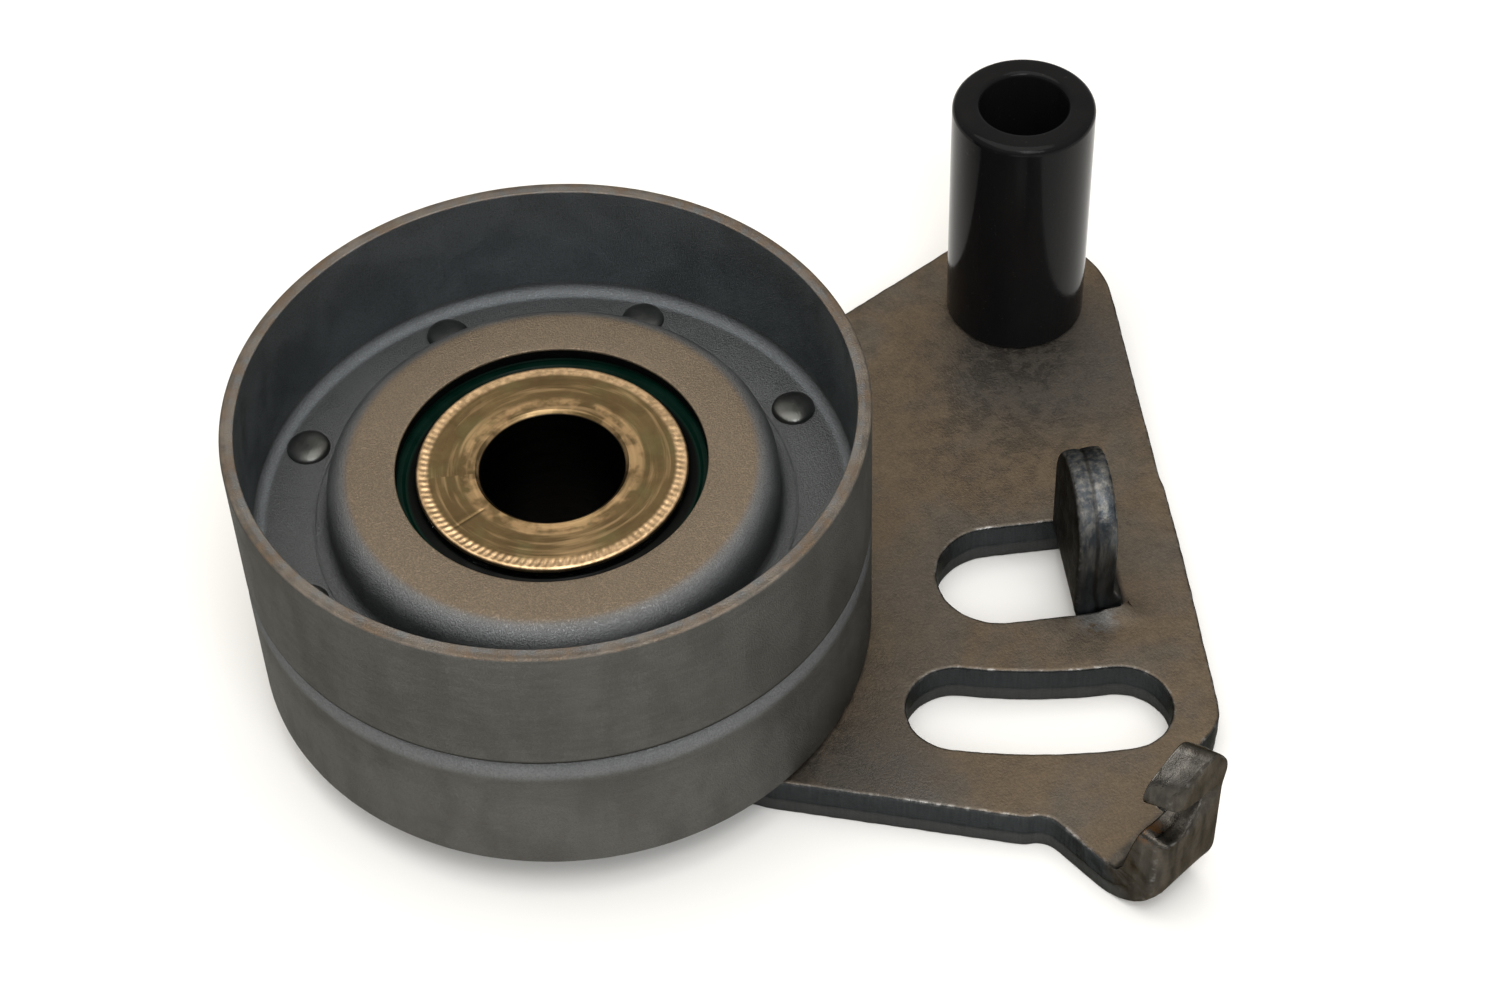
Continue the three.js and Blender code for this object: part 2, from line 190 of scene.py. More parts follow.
def revolve(profile, axis, segments, relief=None):
    """Points and faces of a closed profile turned about a vertical axis. relief(radius, angle, z)
    gives a small height to add, in millimetres."""
    points = []
    for i in range(segments):
        angle = TURN * i / segments
        for radius, z in profile:
            lift = relief(radius, angle, z) if relief else 0.0
            points.append(on_ring(axis, radius, angle, z + lift))
    return points, ring_faces(segments, len(profile))


def turned_piece(name, profile, axis, segments, body, slot, node, relief=None):
    points, faces = revolve(profile, axis, segments, relief)
    make_object(name, points, faces, body, slot, node)


def flipped(profile):
    """The profile mirrored in the bearing's middle plane."""
    return [(radius, 2 * MID - z) for radius, z in profile][::-1]


def ripple(angle, size, seed):
    """Smooth noise round a circle, between -1 and 1."""
    return noise.noise((size * math.cos(angle), size * math.sin(angle), seed))


# ---------------- material helpers


class Paint:
    """A Principled material and the few nodes that its patterns need. Sizes are in millimetres."""

    def __init__(self, name, **inputs):
        self.material = bpy.data.materials.new(name)
        self.material.use_nodes = True
        self.nodes = self.material.node_tree.nodes
        self.links = self.material.node_tree.links
        self.shader = self.fill(self.nodes["Principled BSDF"], inputs)
        self.coordinates = self.add("TexCoord").outputs["Object"]

    def set(self, socket, value):
        """A link where the value is a node's output, and a plain value where it isn't."""
        if isinstance(value, bpy.types.NodeSocket):
            self.links.new(value, socket)
        elif socket.type == "RGBA":
            socket.default_value = (*value, 1)
        else:
            socket.default_value = value

    def fill(self, node, inputs):
        """Sets a node's inputs, whose names have _ for a space."""
        for name, value in inputs.items():
            self.set(node.inputs[name.replace("_", " ")], value)
        return node

    def add(self, kind, **inputs):
        return self.fill(self.nodes.new("ShaderNode" + kind), inputs)

    def moved(self, axis=(0, 0), upward=1.0):
        """Coordinates in millimetres from a vertical axis, the height scaled by upward."""
        shift = (-axis[0], -axis[1], 0)
        scale = (1 / MM, 1 / MM, upward / MM)
        return self.add("Mapping", Vector=self.coordinates, Location=shift, Scale=scale).outputs["Vector"]

    def polar(self, axis, radial=1.0, around=1.0, upward=1.0):
        """Coordinates that follow a turned surface: radius, angle and height."""
        x, y, z = self.add("SeparateXYZ", Vector=self.moved(axis)).outputs
        radius = self.math("SQRT", self.math("ADD", self.times(x, x), self.times(y, y)))
        angle = self.math("ARCTAN2", y, x)
        join = self.add("CombineXYZ", X=self.times(radius, radial), Y=self.times(angle, around),
                        Z=self.times(z, upward))
        return join.outputs[0]

    def height(self):
        return self.add("SeparateXYZ", Vector=self.moved()).outputs["Z"]

    def distance(self, axis):
        """Distance from a vertical axis."""
        return self.add("SeparateXYZ", Vector=self.polar(axis)).outputs["X"]

    def near(self, axis, inner, outer):
        """1 within the inner distance of a vertical axis and 0 past the outer one."""
        return self.steps(self.distance(axis), outer, inner)

    def noise(self, size, detail=3, roughness=0.55, distortion=0.0, upward=1.0, vector=None):
        vector = vector or self.moved(upward=upward)
        return self.add("TexNoise", Vector=vector, Scale=1 / size, Detail=detail, Roughness=roughness,
                        Distortion=distortion).outputs["Fac"]

    def patches(self, size, low, high, **kind):
        """Noise with its contrast raised: 0 below low and 1 above high."""
        return self.steps(self.noise(size, **kind), low, high)

    def math(self, operation, a, b=0.0):
        node = self.add("Math")
        node.operation = operation
        self.set(node.inputs[0], a)
        self.set(node.inputs[1], b)
        return node.outputs[0]

    def times(self, a, b):
        return self.math("MULTIPLY", a, b)

    def plus(self, a, b, share):
        """a plus a share of b."""
        return self.math("ADD", a, self.times(b, share))

    def apart(self, a, b):
        return self.math("ABSOLUTE", self.math("SUBTRACT", a, b))

    def inverse(self, value):
        return self.math("SUBTRACT", 1.0, value)

    def steps(self, value, low, high, start=0.0, end=1.0):
        """A value taken from low..high to start..end, with smooth ends."""
        node = self.add("MapRange", Value=value, From_Min=low, From_Max=high, To_Min=start, To_Max=end)
        node.interpolation_type = "SMOOTHSTEP"
        return node.outputs["Result"]

    def band(self, value, start, full, fading, end):
        """1 from full to fading, falling to 0 at start and at end."""
        return self.times(self.steps(value, start, full), self.steps(value, end, fading))

    def blend(self, share, a, b):
        """A value that goes from a to b as the share goes from 0 to 1."""
        return self.math("ADD", self.times(self.inverse(share), a), self.times(share, b))

    def mix(self, share, a, b):
        """A colour that goes from a to b as the share goes from 0 to 1."""
        node = self.add("Mix")
        node.data_type = "RGBA"
        for index, value in ((0, share), (6, a), (7, b)):
            self.set(node.inputs[index], value)
        return node.outputs[2]

    def tint(self, base, colour, where, strength):
        """The base with a colour laid over it at this strength, where the mask is 1."""
        return self.mix(self.times(where, strength), base, colour)

    def attribute(self, name):
        node = self.add("Attribute")
        node.attribute_name = name
        return node.outputs["Fac"]

    def edges(self, reach, low=0.05, high=0.6):
        """1 on convex edges, from a bevelled normal's difference with the true one."""
        bevel = self.add("Bevel", Radius=reach * MM)
        bevel.samples = 4
        dot = self.add("VectorMath")
        dot.operation = "DOT_PRODUCT"
        self.set(dot.inputs[0], bevel.outputs["Normal"])
        self.set(dot.inputs[1], self.add("NewGeometry").outputs["Normal"])
        return self.steps(self.inverse(dot.outputs["Value"]), low, high)

    def colour(self, value):
        self.set(self.shader.inputs["Base Color"], value)

    def rough(self, value):
        self.set(self.shader.inputs["Roughness"], value)

    def bump(self, *layers):
        """Each layer is (height, depth in millimetres)."""
        below = {}
        for height, depth in layers:
            node = self.add("Bump", Height=height, Distance=depth * MM, **below)
            below = {"Normal": node.outputs["Normal"]}
        self.fill(self.shader, below)


# ---------------- materials


def rolled_face(paint, blotch, grain, drawn):
    """Brown mottling over grey, with shaded, smeared and rusty places."""
    brown = paint.mix(blotch, (0.117, 0.092, 0.067), (0.166, 0.127, 0.088))
    cool = paint.mix(blotch, (0.086, 0.086, 0.082), (0.120, 0.117, 0.108))
    broad = paint.noise(13, distortion=0.4)
    face = paint.mix(paint.steps(broad, 0.48, 0.70, 0.0, 0.5), brown, cool)
    shaded = paint.math("MAXIMUM", paint.near(SLEEVE_SHADE, 6.0, 15.0), paint.near(PULLEY_SHADE, 3.0, 11.0))
    face = paint.tint(face, (0.092, 0.095, 0.096), shaded, 0.6)
    smeared = paint.times(paint.near(TAB_FOOT, 0.6, 3.2), paint.steps(drawn, 0.15, 0.6))
    face = paint.tint(face, (0.190, 0.198, 0.204), smeared, 0.7)
    rust = paint.patches(0.8, 0.60, 0.76, detail=5, roughness=0.75)
    face = paint.tint(face, (0.115, 0.062, 0.030), rust, 0.4)
    return paint.tint(face, (0.050, 0.043, 0.036), grain, 0.26)


def sheared_side(paint, streaks, burnished):
    """The cut wall of the sheet: a torn band, and a darker burnished one above it."""
    torn = paint.mix(streaks, (0.052, 0.054, 0.055), (0.086, 0.088, 0.088))
    smooth = paint.mix(streaks, (0.028, 0.031, 0.034), (0.056, 0.061, 0.064))
    return paint.mix(burnished, torn, smooth)


def tongue_side(paint, height, sheet, drawn, at_hook):
    """The cut wall of a bent-up tongue: lighter towards its top in streaky patches, which are partly rub
    marks and partly a painted highlight, with a dark line of painted shade along the seam on the tab.
    """
    tab = paint.mix(drawn, (0.030, 0.035, 0.040), (0.066, 0.072, 0.078))
    hook = paint.mix(drawn, (0.042, 0.039, 0.035), (0.068, 0.062, 0.054))
    # painted highlight, partly rub marks: streaky lighter patches towards the top of the tongue's walls
    rub_marks_and_highlight = paint.patches(0.7, 0.40, 0.70, detail=4, roughness=0.6, upward=0.15)
    rub_marks_and_highlight = paint.times(rub_marks_and_highlight, paint.steps(height, 6.0, 14.0))
    strength = paint.plus(0.46, at_hook, -0.32)
    side = paint.tint(paint.mix(at_hook, tab, hook), (0.22, 0.205, 0.18), rub_marks_and_highlight, strength)
    # painted shade: a dark line in the crease of the seam along the tab's edge
    seam = paint.steps(paint.apart(sheet, SEAM), 0.08, 0.01)
    return paint.tint(side, (0.022, 0.021, 0.020), paint.times(seam, paint.inverse(at_hook)), 0.7)


def stretched_face(paint, drawn, at_hook):
    """The faces of a tongue, whose skin was stretched as it was bent."""
    tab = paint.mix(drawn, (0.038, 0.037, 0.035), (0.066, 0.064, 0.060))
    hook = paint.mix(drawn, (0.056, 0.051, 0.044), (0.100, 0.089, 0.075))
    return paint.mix(at_hook, tab, hook)


def bare_steel():
    """Pickled sheet with sheared edges in two tones, a painted highlight along the burrs and two darker
    tongues.
    """
    paint = Paint("bare_steel", Metallic=1.0, Roughness=0.5, Specular_Tint=(0.35, 0.34, 0.32))
    wall, sheet, burr, tongue = (paint.attribute(name) for name in ("wall", "sheet", "burr", "tongue"))
    height = paint.height()
    at_hook = paint.near(HOOK_AT, 8.0, 11.0)
    drawn = paint.patches(1.1, 0.30, 0.70, detail=4, roughness=0.5, upward=0.30)
    blotch = paint.patches(1.9, 0.34, 0.66, detail=6, roughness=0.68)
    grain = paint.patches(0.26, 0.34, 0.66, roughness=0.7)
    streaks = paint.noise(0.20, upward=0.08)
    burnished = paint.steps(paint.plus(sheet, paint.noise(1.8, detail=4), 0.14), 0.42, 0.52)
    face = paint.mix(tongue, rolled_face(paint, blotch, grain, drawn), stretched_face(paint, drawn, at_hook))
    side = sheared_side(paint, streaks, burnished)
    side = paint.mix(tongue, side, tongue_side(paint, height, sheet, drawn, at_hook))
    colour = paint.mix(wall, face, side)
    stain = paint.times(paint.near(NOTCH, 0.8, 2.6), paint.band(height, 11.0, 12.5, 14.5, 16.0))
    stain = paint.times(stain, paint.times(wall, paint.steps(blotch, 0.40, 0.58)))
    colour = paint.tint(colour, (0.13, 0.062, 0.020), stain, 0.7)
    # painted highlight: the burr rows are painted lighter, in patches
    bright = paint.times(burr, paint.patches(0.9, 0.48, 0.68))
    paint.colour(paint.tint(colour, (0.30, 0.295, 0.285), bright, 0.6))
    side_rough = paint.plus(paint.plus(0.52, burnished, -0.14), at_hook, -0.12)
    rough = paint.blend(wall, paint.steps(blotch, 0.3, 0.7, 0.46, 0.58), side_rough)
    paint.rough(paint.plus(rough, bright, -0.12))
    hammered = paint.times(paint.times(paint.noise(3.2, detail=1), at_hook), wall)
    paint.bump((blotch, 0.012), (grain, 0.010), (streaks, 0.012), (hammered, 0.35))
    return paint.material


def cup_skins(paint, cloud, height, web, inner_wall, outside):
    """A warm dome, a cool web and inner wall, and an outer skin that handling has dulled, with painted light
    that makes the lower cup lighter.
    """
    dome_colour = paint.mix(cloud, (0.235, 0.184, 0.130), (0.285, 0.228, 0.166))
    web_colour = paint.mix(cloud, (0.124, 0.132, 0.137), (0.178, 0.187, 0.191))
    wall_colour = paint.mix(cloud, (0.150, 0.172, 0.187), (0.225, 0.250, 0.266))
    wiped = paint.noise(1.2, vector=paint.polar(HUB, around=0.3 * PULLEY_RADIUS, upward=2.0))
    outer_colour = paint.mix(wiped, (0.092, 0.091, 0.085), (0.150, 0.148, 0.138))
    # painted light: the lower cup's skin is painted lighter, a painted reflection of the bright floor
    lower_cup_painted_light = paint.steps(height, MID - 2.0, MID - 8.0, 0.0, 0.4)
    outer_colour = paint.mix(lower_cup_painted_light, outer_colour, (0.178, 0.175, 0.164))
    marks = paint.noise(4.0, detail=4, roughness=0.6, upward=0.4)
    outer_colour = paint.mix(paint.steps(marks, 0.36, 0.60, 0.30, 0.0), outer_colour, (0.060, 0.058, 0.053))
    colour = paint.mix(inner_wall, paint.mix(web, dome_colour, web_colour), wall_colour)
    return paint.mix(outside, colour, outer_colour)


def cup_lines(paint, colour, radius, height, from_mid, outside):
    """Painted highlights on the shoulder by the groove and on the fillet of the dome, and painted shade in
    the groove itself.
    """
    # painted highlight on the lower cup's shoulder, just below the groove
    shoulder = paint.times(paint.band(height, MID - 2.6, MID - 1.6, MID - 0.1, MID), outside)
    colour = paint.tint(colour, (0.225, 0.238, 0.250), shoulder, 0.6)
    # painted shade: a near-black line in the groove between the cups
    groove = paint.times(paint.steps(from_mid, 0.75, 0.30), outside)
    colour = paint.mix(groove, colour, (0.016, 0.016, 0.015))
    # painted highlight on the fillet round the dome's top
    fillet = paint.band(radius, DOME_RADIUS - 2.4, DOME_RADIUS - 1.5, DOME_RADIUS - 0.1, DOME_RADIUS + 0.4)
    fillet = paint.times(fillet, paint.steps(from_mid, BEARING_HALF - 2.6, BEARING_HALF - 1.0))
    return paint.tint(colour, (0.24, 0.25, 0.26), fillet, 0.6)


def worn_ends(paint, colour, from_mid):
    """The cups' open ends and sharp edges, worn to a brownish or a greyer bright metal."""
    open_end = paint.steps(from_mid, HALF_WIDTH - 0.22, HALF_WIDTH - 0.04)
    patchy = paint.steps(paint.noise(1.4, detail=4), 0.32, 0.62, 0.35, 1.0)
    edges = paint.times(paint.edges(0.2, 0.15, 0.7), 0.25)
    bright = paint.math("MAXIMUM", paint.times(open_end, patchy), edges)
    metal = paint.mix(paint.patches(5, 0.40, 0.60), (0.19, 0.138, 0.095), (0.23, 0.195, 0.160))
    return paint.tint(colour, metal, bright, 0.8)


def pressed_steel():
    """Deep-drawn steel: a matt dome, satin web and walls, draw marks and a worn rim."""
    paint = Paint("pressed_steel", Metallic=1.0, Roughness=0.36, Specular_Tint=(0.35, 0.35, 0.34))
    radius = paint.distance(HUB)
    height = paint.height()
    from_mid = paint.apart(height, MID)
    cloud = paint.noise(6, detail=4, distortion=0.6)
    fine = paint.patches(0.18, 0.34, 0.66, roughness=0.8)
    web = paint.steps(radius, DOME_RADIUS - 2.5, DOME_RADIUS - 1.0)
    inner_wall = paint.steps(radius, PULLEY_RADIUS - 3.0, PULLEY_RADIUS - 1.6)
    skin = paint.steps(radius, PULLEY_RADIUS - 0.8, PULLEY_RADIUS - 0.5)
    outside = paint.math("MAXIMUM", skin, paint.times(paint.steps(from_mid, 3.0, 2.2), inner_wall))
    colour = cup_skins(paint, cloud, height, web, inner_wall, outside)
    colour = cup_lines(paint, colour, radius, height, from_mid, outside)
    inside = PULLEY_RADIUS - SHEET
    # painted highlight: a light ring round the foot of the inner wall, where it meets the web
    foot = paint.band(radius, inside - 1.3, inside - 0.7, inside, inside + 0.3)
    foot = paint.times(foot, paint.steps(from_mid, SHEET + 1.5, SHEET + 0.7))
    colour = paint.tint(colour, (0.30, 0.33, 0.36), foot, 0.6)
    dark = paint.times(fine, paint.steps(web, 0.0, 1.0, 0.42, 0.34))
    colour = paint.mix(dark, colour, (0.060, 0.055, 0.050))
    dome_top = BEARING_HALF + SHEET
    # painted shade: near black on the wall of the dome's hole
    mouth = paint.times(paint.steps(radius, DOME_HOLE + 0.15, DOME_HOLE + 0.02),
                        paint.steps(from_mid, dome_top - 0.1, dome_top - 0.3))
    colour = paint.mix(mouth, colour, (0.008, 0.010, 0.009))
    paint.colour(worn_ends(paint, colour, from_mid))
    matt = paint.steps(cloud, 0.35, 0.65, 0.44, 0.52)
    satin = paint.plus(paint.steps(cloud, 0.35, 0.65, 0.30, 0.38), inner_wall, 0.10)
    rough = paint.blend(paint.steps(radius, DOME_RADIUS, DOME_RADIUS + 1.5), matt, satin)
    paint.rough(paint.plus(paint.plus(rough, foot, 0.14), fine, 0.06))
    draw = paint.noise(0.20, vector=paint.polar(HUB, radial=1.5, around=PULLEY_RADIUS, upward=0.04))
    scuff = paint.patches(0.6, 0.66, 0.74, detail=5, roughness=0.8, upward=0.4)
    paint.bump((draw, 0.005), (fine, 0.03), (scuff, 0.02), (paint.noise(1.3), 0.010))
    return paint.material


def black_oxide():
    """Glossy black finish with a slight orange peel and dusty specks."""
    paint = Paint("black_oxide", Metallic=0.0, Roughness=0.14, Specular_IOR_Level=0.08)
    speck = paint.patches(0.45, 0.66, 0.74, detail=4, roughness=0.7)
    smear = paint.noise(4, upward=0.25)
    colour = paint.mix(smear, (0.003, 0.003, 0.004), (0.008, 0.008, 0.008))
    colour = paint.tint(colour, (0.10, 0.09, 0.08), speck, 0.35)
    worn = paint.times(paint.edges(0.3), paint.patches(0.8, 0.35, 0.6))
    paint.colour(paint.tint(colour, (0.16, 0.13, 0.10), worn, 0.35))
    paint.rough(paint.steps(smear, 0.3, 0.7, 0.10, 0.20))
    paint.bump((paint.noise(0.9, detail=2), 0.006), (speck, 0.01))
    return paint.material


def golden_metal():
    """Turned, yellow-passivated steel: rings from the tool, discoloured clouds, painted highlights on the
    broad rings and in a ring by the bore, a bright rolled edge and a bore painted dark as painted shade."""
    paint = Paint("golden_metal", Metallic=1.0, Roughness=0.3)
    rings = paint.noise(0.15, detail=4, roughness=0.7, vector=paint.polar(HUB, around=0.5))
    broad_rings = paint.noise(0.8, vector=paint.polar(HUB, around=0.8))
    cloud = paint.noise(3.0, detail=5, distortion=0.8)
    radius = paint.distance(HUB)
    edge = paint.steps(radius, FLANGE_RADIUS - 1.35, FLANGE_RADIUS - 0.9)
    bore = paint.steps(radius, HUB_BORE + 0.16, HUB_BORE + 0.04)
    colour = paint.mix(cloud, (0.072, 0.046, 0.021), (0.200, 0.140, 0.067))
    bore_ring_highlight = paint.steps(radius, HUB_BORE + 2.1, HUB_BORE + 1.5)
    for tarnish_and_highlight, where, strength in (
            ((0.155, 0.145, 0.065), paint.patches(4.5, 0.5, 0.68), 0.45),
            ((0.165, 0.085, 0.05), paint.patches(1.6, 0.60, 0.74, detail=4), 0.4),
            # painted highlights on the broad tool rings
            ((0.50, 0.34, 0.18), paint.steps(broad_rings, 0.50, 0.72), 0.55),
            # painted highlight: a bright ring by the bore
            ((0.50, 0.33, 0.17), paint.times(bore_ring_highlight, paint.patches(2.2, 0.42, 0.62)), 0.6)):
        colour = paint.tint(colour, tarnish_and_highlight, where, strength)
    worn_edge = paint.steps(paint.noise(0.7, detail=4), 0.35, 0.65, 0.45, 1.0)
    colour = paint.mix(paint.times(edge, worn_edge), colour, (0.62, 0.43, 0.25))
    # painted shade: the bore's wall is painted near black
    paint.colour(paint.mix(bore, colour, (0.012, 0.010, 0.008)))
    paint.rough(paint.steps(broad_rings, 0.3, 0.7, 0.30, 0.42))
    paint.bump((rings, 0.012), (broad_rings, 0.025), (paint.noise(0.25), 0.006))
    return paint.material


def seal_rubber():
    """Dark green moulded rubber, a little greasy, with a painted shadow where the flange overhangs it."""
    paint = Paint("seal_rubber", Metallic=0.0, Roughness=0.5, Specular_IOR_Level=0.07)
    cloud = paint.noise(2.4, detail=4)
    colour = paint.mix(cloud, (0.0003, 0.0045, 0.0028), (0.0008, 0.0130, 0.0080))
    # painted shadow: near black under the flange's edge
    flange_shadow = paint.steps(paint.distance(HUB), SEAL_LIP, SEAL_LIP - 0.4)
    paint.colour(paint.mix(flange_shadow, colour, (0.0004, 0.0008, 0.0006)))
    paint.rough(paint.steps(cloud, 0.3, 0.7, 0.30, 0.55))
    paint.bump((paint.noise(0.2), 0.008))
    return paint.material


def smooth_steel(name, dark, light, roughness, lay):
    """Turned, ground or polished steel. lay is the depth of its tool marks, in millimetres."""
    paint = Paint(name, Metallic=1.0, Roughness=roughness)
    cloud = paint.noise(2.5, detail=4)
    rings = paint.noise(0.2, vector=paint.polar(HUB, around=0.6))
    colour = paint.mix(cloud, dark, light)
    paint.colour(paint.tint(colour, (0.75, 0.74, 0.72), paint.edges(0.25), 0.4))
    paint.rough(paint.steps(cloud, 0.3, 0.7, roughness * 0.8, roughness * 1.25))
    paint.bump((rings, lay), (paint.noise(0.3, detail=2), lay * 0.7))
    return paint.material


def floor_paint():
    """Plain matt off-white."""
    paint = Paint("studio_floor", Metallic=0.0, Roughness=0.9, Specular_IOR_Level=0.1)
    paint.colour((0.86, 0.86, 0.85))
    return paint.material


LOOKS = {
    "bare_steel": bare_steel(),
    "pressed_steel": pressed_steel(),
    "black_oxide": black_oxide(),
    "golden_metal": golden_metal(),
    "seal_rubber": seal_rubber(),
    "turned_steel": smooth_steel("turned_steel", (0.34, 0.34, 0.34), (0.48, 0.48, 0.47), 0.34, 0.012),
    "bearing_steel": smooth_steel("bearing_steel", (0.44, 0.45, 0.46), (0.58, 0.59, 0.60), 0.2, 0.004),
    "ball_steel": smooth_steel("ball_steel", (0.60, 0.61, 0.62), (0.70, 0.71, 0.72), 0.07, 0.001),
    "cage_steel": smooth_steel("cage_steel", (0.36, 0.34, 0.30), (0.48, 0.46, 0.42), 0.36, 0.01),
    "rivet_steel": smooth_steel("rivet_steel", (0.068, 0.070, 0.066), (0.125, 0.127, 0.121), 0.36, 0.012),
}


# ---------------- pulley


def cup_profile(groove_corner):
    """Upper cup, as (radius, height): rim, corner at the groove between the cups, web with a fine
    crease round the dome's foot, and the dome over half of the bearing."""
    low = MID + FIT / 2
    web = low + SHEET
    top = MID + HALF_WIDTH
    dome = MID + BEARING_HALF + FIT + SHEET
    inside = PULLEY_RADIUS - SHEET
    crease = DOME_RADIUS + 1.6
    corners = [
        (PULLEY_RADIUS, low, groove_corner), (PULLEY_RADIUS, top, 0.32),
        (inside, top, 0.16), (inside, web, 1.05),
        (crease + 0.15, web, 0.12), (crease, web - 0.07, 0.10), (crease - 0.2, web, 0.12),
        (DOME_RADIUS, web, 1.1), (DOME_RADIUS, dome, 2.55),
        (DOME_HOLE, dome, 0.14), (DOME_HOLE, dome - SHEET, 0.2),
        (DOME_RADIUS - SHEET, dome - SHEET, 1.2), (DOME_RADIUS - SHEET, low, 2.45),
    ]
    return split_long(rounded(corners, steps=7), 1.6)


def cup_relief(radius, angle, z):
    """The rim's open edge and the dome's mouth are a little uneven."""
    at_rim = radius > PULLEY_RADIUS - 2 and abs(z - MID) > HALF_WIDTH - 0.6
    if at_rim:
        return 0.035 * ripple(angle, 3.0, 0.3) + 0.02 * ripple(angle, 14.0, 1.3)
    if radius < DOME_HOLE + 0.5:
        return 0.02 * ripple(angle, 6.0, 4.0)
    return 0.0


def build_cups():
    """The upper cup's edge was struck sharp at the groove, and the lower one's is as it was drawn."""
    for side, profile in (("upper", cup_profile(0.5)), ("lower", flipped(cup_profile(2.4)))):
        turned_piece(f"pulley_half_{side}", profile, HUB, 288, "pulley", "pressed_steel",
                     f"pulley_cup_{side}", cup_relief)


def build_rivets():
    """Each rivet has a low, slightly uneven dome on both sides of the web."""
    shank, rise = 1.2, 0.12
    seat = SHEET + FIT
    upset = [(RIVET_RADIUS * math.cos(a) ** 0.62, seat + rise + (RIVET_HEIGHT - rise) * math.sin(a))
             for a in np.linspace(0, math.pi / 2 - 0.05, 9)]
    half = [(shank, 0.0), (shank, seat), (RIVET_RADIUS - 0.08, seat), (RIVET_RADIUS, seat + 0.05)] + upset
    half.append((0.02, seat + RIVET_HEIGHT))
    lower = [(radius, -z) for radius, z in half[1:]][::-1]
    profile = [(radius, MID + z) for radius, z in lower + half]
    for index, node in enumerate(nodes_named("pulley_rivet_")):

        def uneven(radius, angle, z, seed=index * 3.7):
            return 0.05 * radius * ripple(angle, 0.6, seed) * (1 if z > MID else -1)

        turned_piece(f"rivet_{index + 1}", profile, axis_of(node), 48, "pulley", "rivet_steel", node, uneven)


# ---------------- bearing


def ring_groove(side, land, low, high):
    """Arc of a race groove between two heights, on the side (-1 inner, 1 outer) of the balls."""
    groove = BALL_RADIUS + 0.12
    bite = math.acos(abs(land - BALL_PITCH) / groove)
    angles = np.linspace(low * bite, high * bite, 13)
    return [(BALL_PITCH + side * groove * math.cos(a), MID + groove * math.sin(a)) for a in angles]


def build_rings():
    """The two races. The last two corners given to rounded() only shape the fillet beside them."""
    low, high = MID - BEARING_HALF, MID + BEARING_HALF
    corners = [
        (BEARING_OUTER, low, 1.15), (BEARING_OUTER, high, 1.15), (SEAL_SEAT, high, 0.1),
        (SEAL_SEAT, high - SEAL_DEPTH, 0.05), (OUTER_LAND, high - SEAL_DEPTH, 0.1),
        (OUTER_LAND, MID, 0), (BEARING_OUTER - 1.5, MID, 0),
    ]
    tail = [(OUTER_LAND, low + SEAL_DEPTH), (SEAL_SEAT, low + SEAL_DEPTH), (SEAL_SEAT, low + 0.1),
            (SEAL_SEAT + 0.1, low)]
    outer = rounded(corners)[:-2] + ring_groove(1, OUTER_LAND, 1, -1) + tail
    turned_piece("race_outer", outer, HUB, 144, "pulley", "bearing_steel", "bearing_outer_ring")
    back = rounded([(INNER_LAND, high, 0.3), (BEARING_BORE, high, 0.7),
                    (BEARING_BORE, low, 0.7), (INNER_LAND, low, 0.3)])
    inner = back + ring_groove(-1, INNER_LAND, -1, 1)
    turned_piece("race_inner", inner, HUB, 144, "bracket", "bearing_steel", "bearing_inner_ring")


def build_seals():
    """Each seal has three fine grooves round its face, and a lower lip by the flange."""
    back, face = (end[2] for end in box_mm("bearing_seal_upper"))
    profile = [(17.25, face - 0.05), (17.05, face)]
    for radius in (16.5, 15.7, 14.9):
        profile += [(radius + 0.22, face), (radius + 0.12, face - 0.16)]
        profile += [(radius - 0.12, face - 0.16), (radius - 0.22, face)]
    profile += [(14.2, face), (SEAL_LIP, face - 0.3), (13.2, face - 0.32), (12.9, face - 0.12)]
    profile += [(12.66, face - 0.2), (12.62, back + 0.1), (12.75, back), (17.2, back)]
    for side, shape in (("upper", profile), ("lower", flipped(profile))):
        turned_piece(f"seal_{side}", shape, HUB, 192, "pulley", "seal_rubber", f"bearing_seal_{side}")


def build_balls():
    for node in nodes_named("bearing_ball_"):
        work = bmesh.new()
        bmesh.ops.create_icosphere(work, subdivisions=4, radius=BALL_RADIUS)
        centre = np.append(axis_of(node), MID)
        points = [np.array(v.co) + centre for v in work.verts]
        faces = [tuple(v.index for v in face.verts) for face in work.faces]
        work.free()
        name = node.removeprefix("bearing_")
        make_object(name, points, faces, name, "ball_steel", node)


def build_cage(half, side):
    """A pressed ribbon that waves over each ball and meets its other half between the balls."""
    width, thickness, play = 0.75, 0.5, 0.25
    segments = 480
    places = [axis_of(node) - HUB for node in nodes_named("bearing_ball_")]
    ball_angles = [math.atan2(y, x) for x, y in places]
    points = []
    for i in range(segments):
        angle = TURN * i / segments
        gap = min(abs((angle - ball + math.pi) % TURN - math.pi) for ball in ball_angles) * BALL_PITCH
        inner = max(FIT, math.sqrt(max(0.0, (BALL_RADIUS + play) ** 2 - gap ** 2)))
        for radius, z in ((BALL_PITCH - width, inner), (BALL_PITCH + width, inner),
                          (BALL_PITCH + width, inner + thickness), (BALL_PITCH - width, inner + thickness)):
            points.append(on_ring(HUB, radius, angle, MID + side * z))
    make_object(f"cage_{half}", points, ring_faces(segments, 4), "ball_cage", "cage_steel",
                f"bearing_cage_{half}")


# ---------------- hub and pivot


